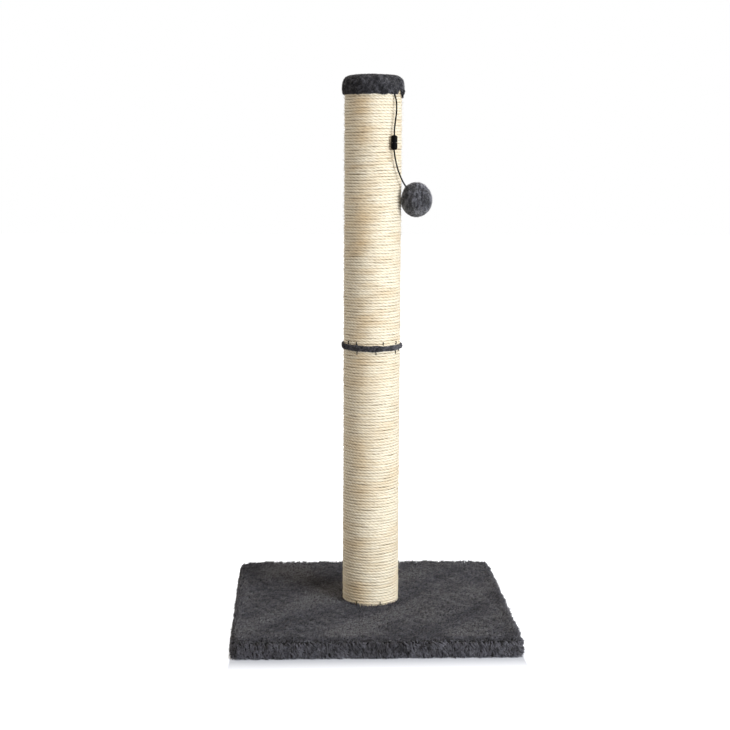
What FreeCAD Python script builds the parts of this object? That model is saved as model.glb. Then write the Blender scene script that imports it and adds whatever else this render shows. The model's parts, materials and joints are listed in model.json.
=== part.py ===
import FreeCAD, Part
import Sketcher
import math
import os

# A free-standing scratching post: two sisal-wound paper tubes screwed end to end on a plush-covered
# square base, a plush cap on top, and a plush ball that hangs from under the cap on a thin black cord
# with a pop-apart clasp. Millimetres, +Z up, origin at the centre of the base's underside.
# The front, where the toy's cord comes out, is towards -Y. Bearings are degrees from +X.

Vector = FreeCAD.Vector
UP = Vector(0, 0, 1)
FULL_TURN = 360.0
HALF_TURN = 180.0
ARC_REACH = 0.45  # how much of the shorter run beside a point its arc takes up
PATH_STEP = 1.5  # between the points on the rope's path where its gap is measured
RIB_ROOT = 0.5  # how far a plug's ribs run into what they join
STEP_RUN = 1.5  # rope thicknesses that the sleeve's step takes round the post

doc = FreeCAD.newDocument("ScratchingPost")
sheet = doc.addObject("Spreadsheet::Sheet", "Sizes")

# name, value in millimetres (degrees or a count where it says so), what it measures
DIMENSIONS = [
    ("base_side", 406.0, "base across its flats, over the pile"),
    ("base_corner", 12.0, "plan radius of the base's corners"),
    ("base_edge", 6.0, "rounding of the base's upper edge"),
    ("hem_edge", 1.2, "rounding of the base's lower edge"),
    ("plush_side", 5.0, "plush on the base's sides, with its pile"),
    ("plush_top", 5.2, "plush on top of a board, with its pile"),
    ("plush_under", 2.0, "plush hem under the board, pressed flat"),
    ("plush_pressed", 1.0, "plush backing pressed under the post's foot"),
    ("seat_clearance", 0.8, "pile's clearance round the post's foot"),
    ("fabric_clearance", 0.3, "gap between a fabric cover and what it covers"),
    ("seat_gap", 0.3, "gap between curved pieces that rest on each other"),
    ("hem_width", 36.0, "hem folded under the board"),
    ("board_thick", 20.0, "base board"),
    ("board_corner", 5.0, "plan radius of the board's corners"),
    ("underlay_thick", 1.2, "dust sheet inside the hem, under the board"),
    ("underlay_clearance", 1.0, "gap between the dust sheet and the hem"),
    ("access_hole", 40.0, "hole in the dust sheet for the bolt, diameter"),
    ("bore_depth", 9.0, "counterbore in the board's underside"),
    ("bore_clearance", 2.0, "counterbore's clearance round the washer"),
    ("hem_staple_count", 6.0, "staples along each side of the hem, a count"),
    ("hem_crown", 12.0, "hem staple across its crown"),
    ("hem_leg", 8.0, "hem staple's legs"),
    ("hem_wire", 1.0, "hem staple's wire"),
    ("crown_sink", 0.6, "how deep the hem staples' crowns are pressed in"),
    ("section_length", 387.5, "one section of the post, with its end plugs"),
    ("tube_diameter", 76.2, "paper tube, outside"),
    ("tube_wall", 3.2, "paper tube's wall"),
    ("rope_thick", 3.8, "sisal rope"),
    ("rope_turn_gap", 0.45, "gap between turns that lie side by side"),
    ("rope_loops", 24.0, "turns modelled on each section, a count"),
    ("rope_margin", 7.0, "bare tube above the upper winding"),
    ("plug_fit", 0.15, "radial clearance of a plug in its tube"),
    ("plug_flange", 2.0, "end plug's flange over the tube's end"),
    ("plug_depth", 24.0, "end plug, from its outer face"),
    ("plug_wall", 2.5, "end plug's skirt wall"),
    ("plug_floor", 3.5, "end plug's floor"),
    ("boss_diameter", 20.0, "end plug's centre boss"),
    ("boss_height", 22.0, "end plug's centre boss, from its outer face"),
    ("rib_thick", 2.0, "end plug's ribs"),
    ("rib_height", 18.0, "end plug's ribs, from its outer face"),
    ("rib_count", 6.0, "end plug's ribs, a count"),
    ("insert_diameter", 12.0, "threaded insert's barrel"),
    ("insert_length", 18.0, "threaded insert"),
    ("insert_rim", 16.0, "threaded insert's rim, diameter"),
    ("rim_thick", 1.0, "threaded insert's rim"),
    ("insert_fit", 0.05, "radial clearance of an insert in its boss"),
    ("thread_diameter", 8.0, "bolt and stud"),
    ("thread_fit", 0.1, "radial clearance of the thread"),
    ("bolt_clearance", 0.5, "radial clearance of the bolt in board and plush"),
    ("bolt_reach", 16.0, "bolt's reach into the lower plug"),
    ("bolt_head_flats", 13.0, "bolt head across its flats"),
    ("bolt_head_thick", 5.3, "bolt head"),
    ("washer_diameter", 30.0, "washer under the bolt head"),
    ("washer_thick", 2.0, "washer under the bolt head"),
    ("washer_fit", 0.3, "radial clearance of the bolt in its washer"),
    ("stud_reach", 16.0, "stud's reach into each section"),
    ("tip_chamfer", 1.0, "chamfer on bolt and stud tips"),
    ("band_height", 9.0, "plush band over the joint"),
    ("band_offset", 2.6, "band's middle above the joint"),
    ("band_thick", 2.7, "plush band, with its pile"),
    ("band_split", 1.5, "gap between the band's ends, at the back"),
    ("band_edge", 0.9, "rounding of the band's outer edges"),
    ("rope_crown", 4.5, "rope staple across its crown"),
    ("rope_leg", 7.0, "rope staple's legs"),
    ("rope_wire", 0.9, "rope staple's wire"),
    ("staple_gap", 0.2, "rope staple's end from the plush beside it"),
    ("crown_gap", 0.1, "gap under a staple's crown"),
    ("top_plug_depth", 20.0, "wooden plug in the post's top"),
    ("cap_board_overhang", 1.4, "cap board beyond the tube, all round"),
    ("cap_board_thick", 4.0, "board under the cap's plush"),
    ("cap_board_edge", 2.5, "rounding of the cap board's upper edge"),
    ("skirt_thick", 3.7, "cap's plush skirt, with its pile"),
    ("cap_edge", 18.0, "rounding of the cap's upper edge"),
    ("cap_skirt", 19.0, "cap's skirt below the post's top"),
    ("skirt_edge", 1.0, "rounding of the skirt's lower edge"),
    ("skirt_shoulder", 2.5, "sloped shoulder inside the skirt"),
    ("screw_count", 3.0, "screws in the cap board, a count"),
    ("screw_circle", 44.0, "circle of the cap board's screws, diameter"),
    ("screw_diameter", 4.0, "cap screw's shank"),
    ("screw_head", 8.0, "cap screw's head, diameter"),
    ("screw_head_depth", 2.2, "cap screw's countersunk head"),
    ("screw_length", 20.0, "cap screw"),
    ("screw_fit", 0.1, "radial clearance round a cap screw"),
    ("cord_thick", 2.2, "toy's cord"),
    ("groove_clearance", 0.35, "clearance of the cord in the cap's skirt"),
    ("groove_height", 14.2, "groove for the cord in the cap's skirt"),
    ("clasp_diameter", 9.0, "clasp barrel"),
    ("clasp_half", 10.4, "length of each half of the clasp"),
    ("clasp_parting", 0.3, "gap between the clasp's halves"),
    ("clasp_edge", 3.0, "rounding of the clasp's ends"),
    ("prong_diameter", 4.6, "prong on the clasp's lower half"),
    ("prong_length", 6.0, "prong on the clasp's lower half"),
    ("prong_tip", 0.8, "rounding of the prong's tip"),
    ("prong_fit", 0.08, "radial clearance of the prong in its socket"),
    ("socket_spare", 0.8, "socket's depth beyond the prong"),
    ("ball_width", 45.4, "ball across"),
    ("ball_tall", 50.0, "ball's height"),
    ("ball_skin", 3.0, "ball's plush skin, with its pile"),
    ("ball_bearing", -14.9, "bearing of the ball round the post, degrees"),
    ("ball_drop", 150.5, "ball's centre below the cap's hem"),
    ("mouth_lean", 42.5, "lean of the ball's mouth from upright, degrees"),
    ("mouth_bearing", 199.6, "bearing of the ball's mouth from its centre, degrees"),
    ("knot_diameter", 5.0, "knot on the cord's end, inside the ball"),
    ("knot_depth", 7.0, "knot's centre below the ball's skin"),
]


def number_text(value):
    return repr(float(value))


class Size:
    """A size that knows its number and the sheet formula that gives it."""

    def __init__(self, number, formula):
        self.number = float(number)
        self.formula = formula

    def joined(self, other, sign, number):
        return Size(number, "(" + self.formula + " " + sign + " " + other.formula + ")")

    def __add__(self, other):
        other = as_size(other)
        return self.joined(other, "+", self.number + other.number)

    def __sub__(self, other):
        other = as_size(other)
        return self.joined(other, "-", self.number - other.number)

    def __mul__(self, other):
        other = as_size(other)
        return self.joined(other, "*", self.number * other.number)

    def __truediv__(self, other):
        other = as_size(other)
        return self.joined(other, "/", self.number / other.number)

    def __neg__(self):
        return Size(-self.number, "(0 - " + self.formula + ")")


def as_size(value):
    if isinstance(value, Size):
        return value
    return Size(value, number_text(value))


def fill_sheet():
    """Write the driving dimensions into the sheet and give each its alias."""
    sizes = {}
    for row, (alias, value, meaning) in enumerate(DIMENSIONS, start=1):
        sheet.set("A" + str(row), meaning)
        sheet.set("B" + str(row), number_text(value))
        sheet.setAlias("B" + str(row), alias)
    doc.recompute()
    for alias, value, meaning in DIMENSIONS:
        sizes[alias] = Size(sheet.get(alias), "Sizes." + alias)
    return sizes


S = fill_sheet()
ZERO = as_size(0)

# ---------------------------------------------------------------- places that several pieces share

board_side = S["base_side"] - S["plush_side"] * 2
board_bottom = S["plush_under"]
board_top = board_bottom + S["board_thick"]
base_top = board_top + S["plush_top"]
hem_opening = board_side - S["hem_width"] * 2
foot = board_top + S["plush_pressed"]
joint = foot + S["section_length"]
post_top = joint + S["section_length"]
tube_radius = S["tube_diameter"] / 2
tube_bore = tube_radius - S["tube_wall"]
plug_radius = tube_bore - S["plug_fit"]
rope_radius = S["rope_thick"] / 2
rope_path = tube_radius + S["seat_gap"] + rope_radius
rope_outer = rope_path + rope_radius
thread_radius = S["thread_diameter"] / 2
thread_bore = thread_radius + S["thread_fit"]
bolt_hole = thread_radius + S["bolt_clearance"]
washer_face = board_bottom + S["bore_depth"]
cap_board_radius = tube_radius + S["cap_board_overhang"]
cap_board_top = post_top + S["cap_board_thick"]
hem = post_top - S["cap_skirt"]
upper_rope_top = post_top - S["rope_margin"]
cord_radius = S["cord_thick"] / 2
cord_stand = rope_outer + S["seat_gap"] + cord_radius
ball_radius = S["ball_width"] / 2
ball_half_tall = S["ball_tall"] / 2
ball_stand = rope_outer + S["seat_gap"] + ball_radius

# The toy's route, chosen by hand: bearing in degrees, stand-off from the rope's surface and drop
# below the cap's hem, both in millimetres.
CORD_BEARING = -47.8
UPPER_ROUTE = [
    (CORD_BEARING, 1.4, 2.2),
    (-47.6, 4.4, 8.5),
    (-48.2, 5.8, 21.5),
    (-50.4, 5.8, 35.0),
    (-52.8, 5.1, 48.0),
    (-52.8, 5.1, 58.2),
]
LOWER_ROUTE = [
    (-51.0, 5.2, 89.5),
    (-47.0, 5.1, 100.2),
    (-41.5, 5.8, 111.5),
    (-34.4, 7.4, 122.7),
]
# The cord's fixed end under the skirt: distance outside the tube and rise above the hem.
END_ROUTE = [
    (1.4, 17.8),
    (1.5, 14.4),
    (5.6, 11.4),
    (5.65, 5.6),
    (5.5, -0.8),
]
# Rope staples that show: their bearings over the band, under it and at the foot, in degrees.
STAPLES_OVER_BAND = [-146.9, -124.6, -69.6, -36.0]
STAPLES_UNDER_BAND = [-123.1, -84.4, -37.9]
STAPLES_AT_FOOT = [-121.2, -72.3]
TOY_STAPLE_DROP = 2.4
SMALL = 0.01

pieces = []


# ---------------------------------------------------------------- small makers


def bind(feature, property_name, size):
    feature.setExpression(property_name, as_size(size).formula)


def place(feature, x=ZERO, y=ZERO, z=ZERO):
    for axis, value in (("x", x), ("y", y), ("z", z)):
        bind(feature, "Placement.Base." + axis, value)


def flip(feature):
    """Turn a piece upside down about its own X axis."""
    feature.Placement.Rotation = FreeCAD.Rotation(Vector(1, 0, 0), HALF_TURN)


def rod(name, radius, height, x=ZERO, y=ZERO, z=ZERO):
    feature = doc.addObject("Part::Cylinder", name)
    bind(feature, "Radius", radius)
    bind(feature, "Height", height)
    place(feature, x, y, z)
    return feature


def block(name, length, width, height, z=ZERO, x=None, y=None):
    """A box centred on the axis, or with its low corner at x or y where they are given."""
    feature = doc.addObject("Part::Box", name)
    bind(feature, "Length", length)
    bind(feature, "Width", width)
    bind(feature, "Height", height)
    low_x = -(as_size(length) / 2) if x is None else x
    low_y = -(as_size(width) / 2) if y is None else y
    place(feature, low_x, low_y, z)
    return feature


def shape_tool(name, shape):
    feature = doc.addObject("Part::Feature", name)
    feature.Shape = shape
    return feature


def cut(name, base, tools):
    feature = doc.addObject("Part::Cut", name)
    feature.Base = base
    feature.Tool = tools[0] if len(tools) == 1 else fuse(name + "_tools", tools)
    return feature


def fuse(name, parts):
    feature = doc.addObject("Part::MultiFuse", name)
    feature.Shapes = parts
    return feature


def piece(feature, label):
    feature.Label = label
    pieces.append(feature)
    return feature


def new_body(name):
    return doc.addObject("PartDesign::Body", name)


def origin_plane(body, role):
    return [item for item in body.Origin.OriginFeatures if item.Role == role][0]


def outline(body, name, role, corners):
    """A closed sketch of straight lines, each corner held by two sizes from the origin."""
    sketch = body.newObject("Sketcher::SketchObject", name)
    sketch.AttachmentSupport = [(origin_plane(body, role), "")]
    sketch.MapMode = "FlatFace"
    corners = [(as_size(x), as_size(y)) for x, y in corners]
    count = len(corners)
    points = [Vector(x.number, y.number, 0) for x, y in corners]
    for index in range(count):
        sketch.addGeometry(Part.LineSegment(points[index], points[(index + 1) % count]), False)
    for index in range(count):
        sketch.addConstraint(Sketcher.Constraint("Coincident", index, 2, (index + 1) % count, 1))
    for index, (x, y) in enumerate(corners):
        hold_corner(sketch, index, "DistanceX", x, -2)
        hold_corner(sketch, index, "DistanceY", y, -1)
    return sketch


def hold_corner(sketch, index, kind, size, axis):
    if size is ZERO:
        sketch.addConstraint(Sketcher.Constraint("PointOnObject", index, 1, axis))
        return
    number = sketch.addConstraint(Sketcher.Constraint(kind, -1, 1, index, 1, size.number))
    sketch.setExpression("Constraints[" + str(number) + "]", size.formula)


def turned(name, profile, z=None):
    """A body turned about its own Z axis from a profile of radius and height pairs."""
    body = new_body(name)
    sketch = outline(body, name + "_profile", "XZ_Plane", profile)
    turn = body.newObject("PartDesign::Revolution", name + "_turned")
    turn.Profile = sketch
    turn.ReferenceAxis = (sketch, ["V_Axis"])
    turn.Angle = FULL_TURN
    if z is not None:
        place(body, z=z)
    return body


def padded(name, corners, height, z=ZERO):
    body = new_body(name)
    sketch = outline(body, name + "_plan", "XY_Plane", corners)
    pad = body.newObject("PartDesign::Pad", name + "_pad")
    pad.Profile = sketch
    bind(pad, "Length", height)
    place(body, z=z)
    return body


def square(side):
    half = as_size(side) / 2
    return [(-half, -half), (half, -half), (half, half), (-half, half)]


def round_edges(body, name, radius, wanted):
    """Fillet the body's edges for which wanted(edge) is true."""
    doc.recompute()
    shape = body.Tip.Shape
    names = ["Edge" + str(i) for i, edge in enumerate(shape.Edges, start=1) if wanted(edge)]
    if not names:
        raise ValueError("no edge to round for " + name)
    feature = body.newObject("PartDesign::Fillet", name)
    feature.Base = (body.Group[-2], names)
    bind(feature, "Radius", radius)
    return feature


def is_upright(edge):
    first, last = edge.Vertexes[0].Point, edge.Vertexes[-1].Point
    return abs(first.z - last.z) > SMALL and Vector(first.x - last.x, first.y - last.y, 0).Length < SMALL


def at_height(height):
    level = as_size(height).number
    return lambda edge: all(abs(vertex.Point.z - level) < SMALL for vertex in edge.Vertexes)


def ring_edge(radius, height):
    wide = as_size(radius).number
    level = as_size(height).number

    def wanted(edge):
        curve = edge.Curve
        return (isinstance(curve, Part.Circle) and abs(curve.Radius - wide) < SMALL
                and abs(curve.Center.z - level) < SMALL)
    return wanted


def around(bearing, distance, height):
    """The point at a bearing in degrees and a distance from the post's axis."""
    angle = math.radians(bearing)
    return Vector(distance * math.cos(angle), distance * math.sin(angle), height)


def outward(bearing):
    return around(bearing, 1.0, 0.0)


def staple_shape(crown, leg, wire):
    """A staple with its crown along X just above z = 0 and its legs pointing down."""
    top = Part.makeBox(crown, wire, wire, Vector(-crown / 2, -wire / 2, 0))
    left = Part.makeBox(wire, wire, leg, Vector(-crown / 2, -wire / 2, -leg))
    right = Part.makeBox(wire, wire, leg, Vector(crown / 2 - wire, -wire / 2, -leg))
    return top.fuse([left, right]).removeSplitter()


def staple_on_post(bearing, distance, height, crown_up=False):
    """A rope staple at that bearing, its crown level, or upright so that it straddles a turn of rope."""
    shape = staple_shape(S["rope_crown"].number, S["rope_leg"].number, S["rope_wire"].number)
    away = outward(bearing)
    sideways = UP.cross(away)
    crown = UP if crown_up else sideways
    turn = FreeCAD.Rotation(crown, away.cross(crown), away, "ZXY")
    shape.Placement = FreeCAD.Placement(around(bearing, distance, height), turn)
    return shape


def print_size(name, value):
    print(name + ": " + format(value, ".3f"))


# ---------------------------------------------------------------- routes and tubes


def rounded_route(points):
    """Straight runs joined by tangent arcs, as large as the shorter run beside each point allows."""
    edges = []
    radii = []
    start = points[0]
    for before, corner, after in zip(points, points[1:], points[2:]):
        run_in = corner - before
        run_out = after - corner
        shorter = min(run_in.Length, run_out.Length)
        reach = ARC_REACH * shorter
        half_turn = run_in.getAngle(run_out) / 2
        radius = reach / math.tan(half_turn)
        unit_in = Vector(run_in).normalize()
        unit_out = Vector(run_out).normalize()
        enter = corner - unit_in * reach
        leave = corner + unit_out * reach
        inwards = (unit_out - unit_in).normalize()
        middle = corner + inwards * (radius / math.cos(half_turn) - radius)
        edges.append(Part.LineSegment(start, enter).toShape())
        edges.append(Part.Arc(enter, middle, leave).toShape())
        radii.append(radius)
        start = leave
    edges.append(Part.LineSegment(start, points[-1]).toShape())
    return edges, radii


def tube_along(name, edges, radius):
    wire = Part.Wire(edges)
    first = edges[0]
    begin = first.valueAt(first.FirstParameter)
    along = first.tangentAt(first.FirstParameter)
    profile = Part.Wire(Part.Circle(begin, along, radius).toShape())
    solid = wire.makePipeShell([profile], True, False)
    ideal = math.pi * radius ** 2 * wire.Length
    print_size(name + " length", wire.Length)
    print_size(name + " volume over section times length", solid.Volume / ideal)
    return solid


def cord_tube(name, points, rounded_start, rounded_end):
    """A cord's tube; a rounded end is a half ball, so that the cord can swing about its centre."""
    edges, radii = rounded_route(points)
    solid = tube_along(name, edges, cord_radius.number)
    print(name + " bend radii: " + ", ".join(format(radius, ".1f") for radius in radii))
    if rounded_start:
        back = points[0] - points[1]
        solid = solid.fuse(Part.makeSphere(cord_radius.number, points[0], back, 0, 90))
    if rounded_end:
        ahead = points[-1] - points[-2]
        solid = solid.fuse(Part.makeSphere(cord_radius.number, points[-1], ahead, 0, 90))
    return solid


def arc_between(start, corner, end):
    """The arc that touches both legs of an even-legged corner."""
    middle = (start + end) / 2
    weight = (middle - start).Length / (corner - start).Length
    return Part.Arc(start, (middle + corner * weight) / (1 + weight), end).toShape()


def biarc(start, along_start, end, along_end):
    """Two tangent arcs from one point and direction to another."""
    across = end - start
    both = along_start + along_end
    spread = 1 - along_start.dot(along_end)
    lean = across.dot(both)
    reach = (math.sqrt(lean ** 2 + 2 * spread * across.Length ** 2) - lean) / (2 * spread)
    near_corner = start + along_start * reach
    far_corner = end - along_end * reach
    meeting = (near_corner + far_corner) / 2
    return [arc_between(start, near_corner, meeting), arc_between(meeting, far_corner, end)]


def helix_point(radius, pitch, turns):
    angle = 2 * math.pi * turns
    return Vector(radius * math.cos(angle), radius * math.sin(angle), pitch * turns)


def helix_direction(radius, pitch, turns):
    angle = 2 * math.pi * turns
    rise = pitch / (2 * math.pi)
    return Vector(-radius * math.sin(angle), radius * math.cos(angle), rise).normalize()


def winding_path(radius, pitch, loops, straight):
    """A helix of half-turn biarcs whose two ends run straight."""
    steps = int(round(loops * 2))
    knots = [index / 2 for index in range(steps + 1)]
    begin = helix_point(radius, pitch, knots[0])
    begin_along = helix_direction(radius, pitch, knots[0])
    finish = helix_point(radius, pitch, knots[-1])
    finish_along = helix_direction(radius, pitch, knots[-1])
    edges = [Part.LineSegment(begin - begin_along * straight, begin).toShape()]
    for low, high in zip(knots, knots[1:]):
        edges += biarc(helix_point(radius, pitch, low), helix_direction(radius, pitch, low),
                       helix_point(radius, pitch, high), helix_direction(radius, pitch, high))
    edges.append(Part.LineSegment(finish, finish + finish_along * straight).toShape())
    return edges


def least_gap(edges, thickness, loop_length):
    """The least gap between the rope and itself, on points along its path."""
    points = []
    for edge in edges:
        count = max(2, int(edge.Length / PATH_STEP))
        first, last = edge.FirstParameter, edge.LastParameter
        for index in range(count):
            points.append(edge.valueAt(first + (last - first) * index / count))
    apart = int(loop_length * 0.5 / PATH_STEP)
    reach = int(loop_length * 1.5 / PATH_STEP)
    least = None
    for index, here in enumerate(points):
        for other in points[index + apart:index + reach]:
            distance = (other - here).Length
            if least is None or distance < least:
                least = distance
    return least - thickness


# ---------------------------------------------------------------- base


def make_base_board():
    body = padded("base_board_body", square(board_side), S["board_thick"], board_bottom)
    round_edges(body, "base_board_corners", S["board_corner"], is_upright)
    washer_room = S["washer_diameter"] / 2 + S["bore_clearance"]
    counterbore = rod("board_counterbore", washer_room, S["bore_depth"], z=board_bottom)
    hole = rod("board_hole", bolt_hole, S["board_thick"], z=board_bottom)
    piece(cut("base_board_cut", body, [counterbore, hole]), "base_board")


def hem_staple_spots():
    """The middle of each staple along the hem and the angle of its crown."""
    per_side = int(round(S["hem_staple_count"].number))
    reach = board_side.number / 2 - S["hem_width"].number / 2
    step = 2 * reach / per_side
    spots = []
    for side in range(4):
        turn = FreeCAD.Rotation(UP, 90.0 * side)
        for index in range(per_side):
            along = -reach + step * (index + 0.5)
            spots.append((turn.multVec(Vector(along, -reach, 0)), 90.0 * side))
    return spots


def on_hem(shape, spot, angle):
    """Set a shape on the hem, its own +Z pointing at the floor."""
    level = Vector(spot.x, spot.y, S["crown_sink"].number + S["hem_wire"].number)
    turn = FreeCAD.Rotation(UP, angle) * FreeCAD.Rotation(Vector(1, 0, 0), HALF_TURN)
    placed = shape.copy()
    placed.Placement = FreeCAD.Placement(level, turn)
    return placed


def make_base_cover():
    body = padded("base_cover_body", square(S["base_side"]), base_top)
    round_edges(body, "base_cover_corners", S["base_corner"], is_upright)
    round_edges(body, "base_cover_edge", S["base_edge"], at_height(base_top))
    round_edges(body, "base_cover_hem", S["hem_edge"], at_height(0))
    room = board_side + S["fabric_clearance"] * 2
    board_room = block("cover_board_room", room, room, S["board_thick"], z=board_bottom)
    opening = block("cover_hem_opening", hem_opening, hem_opening, board_bottom)
    hole = rod("cover_hole", bolt_hole, base_top)
    seat_radius = rope_outer + S["seat_clearance"]
    seat = rod("cover_seat", seat_radius, S["plush_top"] - S["plush_pressed"], z=foot)
    wire = S["hem_wire"].number
    crown = S["hem_crown"].number
    sink = S["crown_sink"].number
    slot = Part.makeBox(crown, wire, wire + sink, Vector(-crown / 2, -wire / 2, 0))
    slots = shape_tool("cover_staple_slots", Part.makeCompound(
        [on_hem(slot, spot, angle) for spot, angle in hem_staple_spots()]))
    piece(cut("base_cover_cut", body, [board_room, opening, hole, seat, slots]), "base_cover")


def make_base_staples():
    shape = staple_shape(S["hem_crown"].number, S["hem_leg"].number, S["hem_wire"].number)
    staples = [on_hem(shape, spot, angle) for spot, angle in hem_staple_spots()]
    piece(shape_tool("base_staples_group", Part.makeCompound(staples)), "base_staples")


def make_base_underlay():
    side = hem_opening - S["underlay_clearance"] * 2
    panel = block("underlay_panel", side, side, S["underlay_thick"], z=board_bottom - S["underlay_thick"])
    hole = rod("underlay_hole", S["access_hole"] / 2, S["underlay_thick"],
               z=board_bottom - S["underlay_thick"])
    piece(cut("underlay_cut", panel, [hole]), "base_underlay")


def make_base_washer():
    bore = thread_radius + S["washer_fit"]
    rim = S["washer_diameter"] / 2
    thick = S["washer_thick"]
    profile = [(bore, ZERO), (rim, ZERO), (rim, thick), (bore, thick)]
    piece(turned("base_washer_body", profile, z=washer_face - thick), "base_washer")


def make_base_bolt():
    under_head = washer_face - S["washer_thick"]
    length = foot + S["bolt_reach"] - under_head
    chamfer = S["tip_chamfer"]
    profile = [(ZERO, ZERO), (thread_radius, ZERO), (thread_radius, length - chamfer),
               (thread_radius - chamfer, length), (ZERO, length)]
    shank = turned("base_bolt_shank", profile, z=under_head)
    head = doc.addObject("Part::Prism", "base_bolt_head")
    head.Polygon = 6
    bind(head, "Circumradius", S["bolt_head_flats"] / math.sqrt(3))
    bind(head, "Height", S["bolt_head_thick"])
    place(head, z=under_head - S["bolt_head_thick"])
    piece(fuse("base_bolt_fused", [shank, head]), "base_bolt")


# ---------------------------------------------------------------- post


def make_end_plug(label, height, upside_down):
    """A moulded cup with a centre boss and ribs; its flange covers the tube's end."""
    boss = S["boss_diameter"] / 2
    bore = S["insert_diameter"] / 2 + S["insert_fit"]
    rim = S["insert_rim"] / 2 + S["insert_fit"]
    inner = plug_radius - S["plug_wall"]
    profile = [(rim, ZERO), (tube_radius, ZERO), (tube_radius, S["plug_flange"]),
               (plug_radius, S["plug_flange"]), (plug_radius, S["plug_depth"]), (inner, S["plug_depth"]),
               (inner, S["plug_floor"]), (boss, S["plug_floor"]), (boss, S["boss_height"]),
               (bore, S["boss_height"]), (bore, S["rim_thick"]), (rim, S["rim_thick"])]
    body = turned(label + "_body", profile, z=height)
    root = boss - RIB_ROOT
    end = inner + RIB_ROOT
    low = S["plug_floor"] - RIB_ROOT
    high = S["rib_height"]
    corners = [(root, low), (end, low), (end, high), (root, high)]
    rib_plan = outline(body, label + "_rib_plan", "XZ_Plane", corners)
    rib = body.newObject("PartDesign::Pad", label + "_rib")
    rib.Profile = rib_plan
    rib.Midplane = True
    bind(rib, "Length", S["rib_thick"])
    ribs = body.newObject("PartDesign::PolarPattern", label + "_ribs")
    ribs.Originals = [rib]
    ribs.Axis = (origin_plane(body, "Z_Axis"), [""])
    ribs.Angle = FULL_TURN
    bind(ribs, "Occurrences", S["rib_count"])
    body.Tip = ribs
    if upside_down:
        flip(body)
    piece(body, label)


def make_insert(label, height, upside_down):
    """A threaded insert whose rim is flush with its plug's outer face."""
    barrel = S["insert_diameter"] / 2
    rim = S["insert_rim"] / 2
    profile = [(thread_bore, ZERO), (rim, ZERO), (rim, S["rim_thick"]), (barrel, S["rim_thick"]),
               (barrel, S["insert_length"]), (thread_bore, S["insert_length"])]
    body = turned(label + "_body", profile, z=height)
    if upside_down:
        flip(body)
    piece(body, label)


def make_tube(label, bottom, top):
    length = top - bottom
    profile = [(tube_bore, ZERO), (tube_radius, ZERO), (tube_radius, length), (tube_bore, length)]
    piece(turned(label + "_body", profile, z=bottom), label)


def winding_shape(label, length):
    """Real turns from z = 0 upwards, and above them a plain sleeve that the rope's end runs into."""
    thick = S["rope_thick"].number
    pitch = thick + S["rope_turn_gap"].number
    loops = S["rope_loops"].number
    path_radius = rope_path.number
    edges = winding_path(path_radius, pitch, loops, thick)
    rope = tube_along(label, edges, thick / 2)
    lift = thick / 2 + pitch * thick / (2 * math.pi * path_radius)
    gap = least_gap(edges, thick, 2 * math.pi * path_radius)
    print_size(label + " least gap to itself", gap)
    rope.translate(Vector(0, 0, lift))
    rope_end = edges[-1].valueAt(edges[-1].LastParameter) + Vector(0, 0, lift)
    end_along = helix_direction(path_radius, pitch, loops)
    outer = rope_outer.number
    inner = tube_radius.number + S["seat_gap"].number
    sleeve_start = rope_end.z + thick / 2 + S["rope_turn_gap"].number
    sleeve = annulus(inner, outer, sleeve_start, length)
    step = annulus(inner, outer, rope_end.z - thick / 2, sleeve_start)
    step_length = thick * STEP_RUN
    room = Part.makeBox(thick * 2, step_length, thick * 4, Vector(-thick, 0, -thick * 2))
    sideways = end_along.cross(UP)
    turn = FreeCAD.Rotation(sideways, end_along, UP, "YZX")
    room.Placement = FreeCAD.Placement(rope_end, turn)
    sleeve = sleeve.fuse(step.common(room)).removeSplitter()
    return Part.makeCompound([rope, sleeve])


def annulus(inner, outer, bottom, top):
    height = top - bottom
    base = Vector(0, 0, bottom)
    return Part.makeCylinder(outer, height, base).cut(Part.makeCylinder(inner, height, base))


def make_windings():
    start_bearing = STAPLES_AT_FOOT[0]
    lower = shape_tool("lower_rope_winding", winding_shape("lower_rope", (joint - foot).number))
    lower.Placement = FreeCAD.Placement(Vector(0, 0, foot.number), FreeCAD.Rotation(UP, start_bearing))
    piece(lower, "lower_rope")
    upper = shape_tool("upper_rope_winding", winding_shape("upper_rope", (upper_rope_top - joint).number))
    upside_down = FreeCAD.Rotation(UP, start_bearing) * FreeCAD.Rotation(Vector(1, 0, 0), HALF_TURN)
    upper.Placement = FreeCAD.Placement(Vector(0, 0, upper_rope_top.number), upside_down)
    piece(upper, "upper_rope")


def make_joint_stud():
    reach = S["stud_reach"]
    chamfer = S["tip_chamfer"]
    tip = thread_radius - chamfer
    profile = [(ZERO, -reach), (tip, -reach), (thread_radius, chamfer - reach),
               (thread_radius, reach - chamfer), (tip, reach), (ZERO, reach)]
    piece(turned("joint_stud_body", profile, z=joint), "joint_stud")


def make_joint_band():
    inner = rope_outer + S["fabric_clearance"]
    outer = inner + S["band_thick"]
    height = S["band_height"]
    profile = [(inner, ZERO), (outer, ZERO), (outer, height), (inner, height)]
    bottom = joint + S["band_offset"] - height / 2
    body = turned("joint_band_body", profile, z=bottom)
    round_edges(body, "joint_band_low_edge", S["band_edge"], ring_edge(outer, ZERO))
    round_edges(body, "joint_band_high_edge", S["band_edge"], ring_edge(outer, height))
    split = block("joint_band_split", S["band_split"], outer * 2, height, z=bottom, y=ZERO)
    piece(cut("joint_band_cut", body, [split]), "joint_band")


def rope_staples(bearings, middle):
    """Upright staples over the rope at those bearings, all with their middles at one height."""
    distance = rope_outer.number + S["crown_gap"].number
    return [staple_on_post(bearing, distance, middle.number, crown_up=True) for bearing in bearings]


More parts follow.
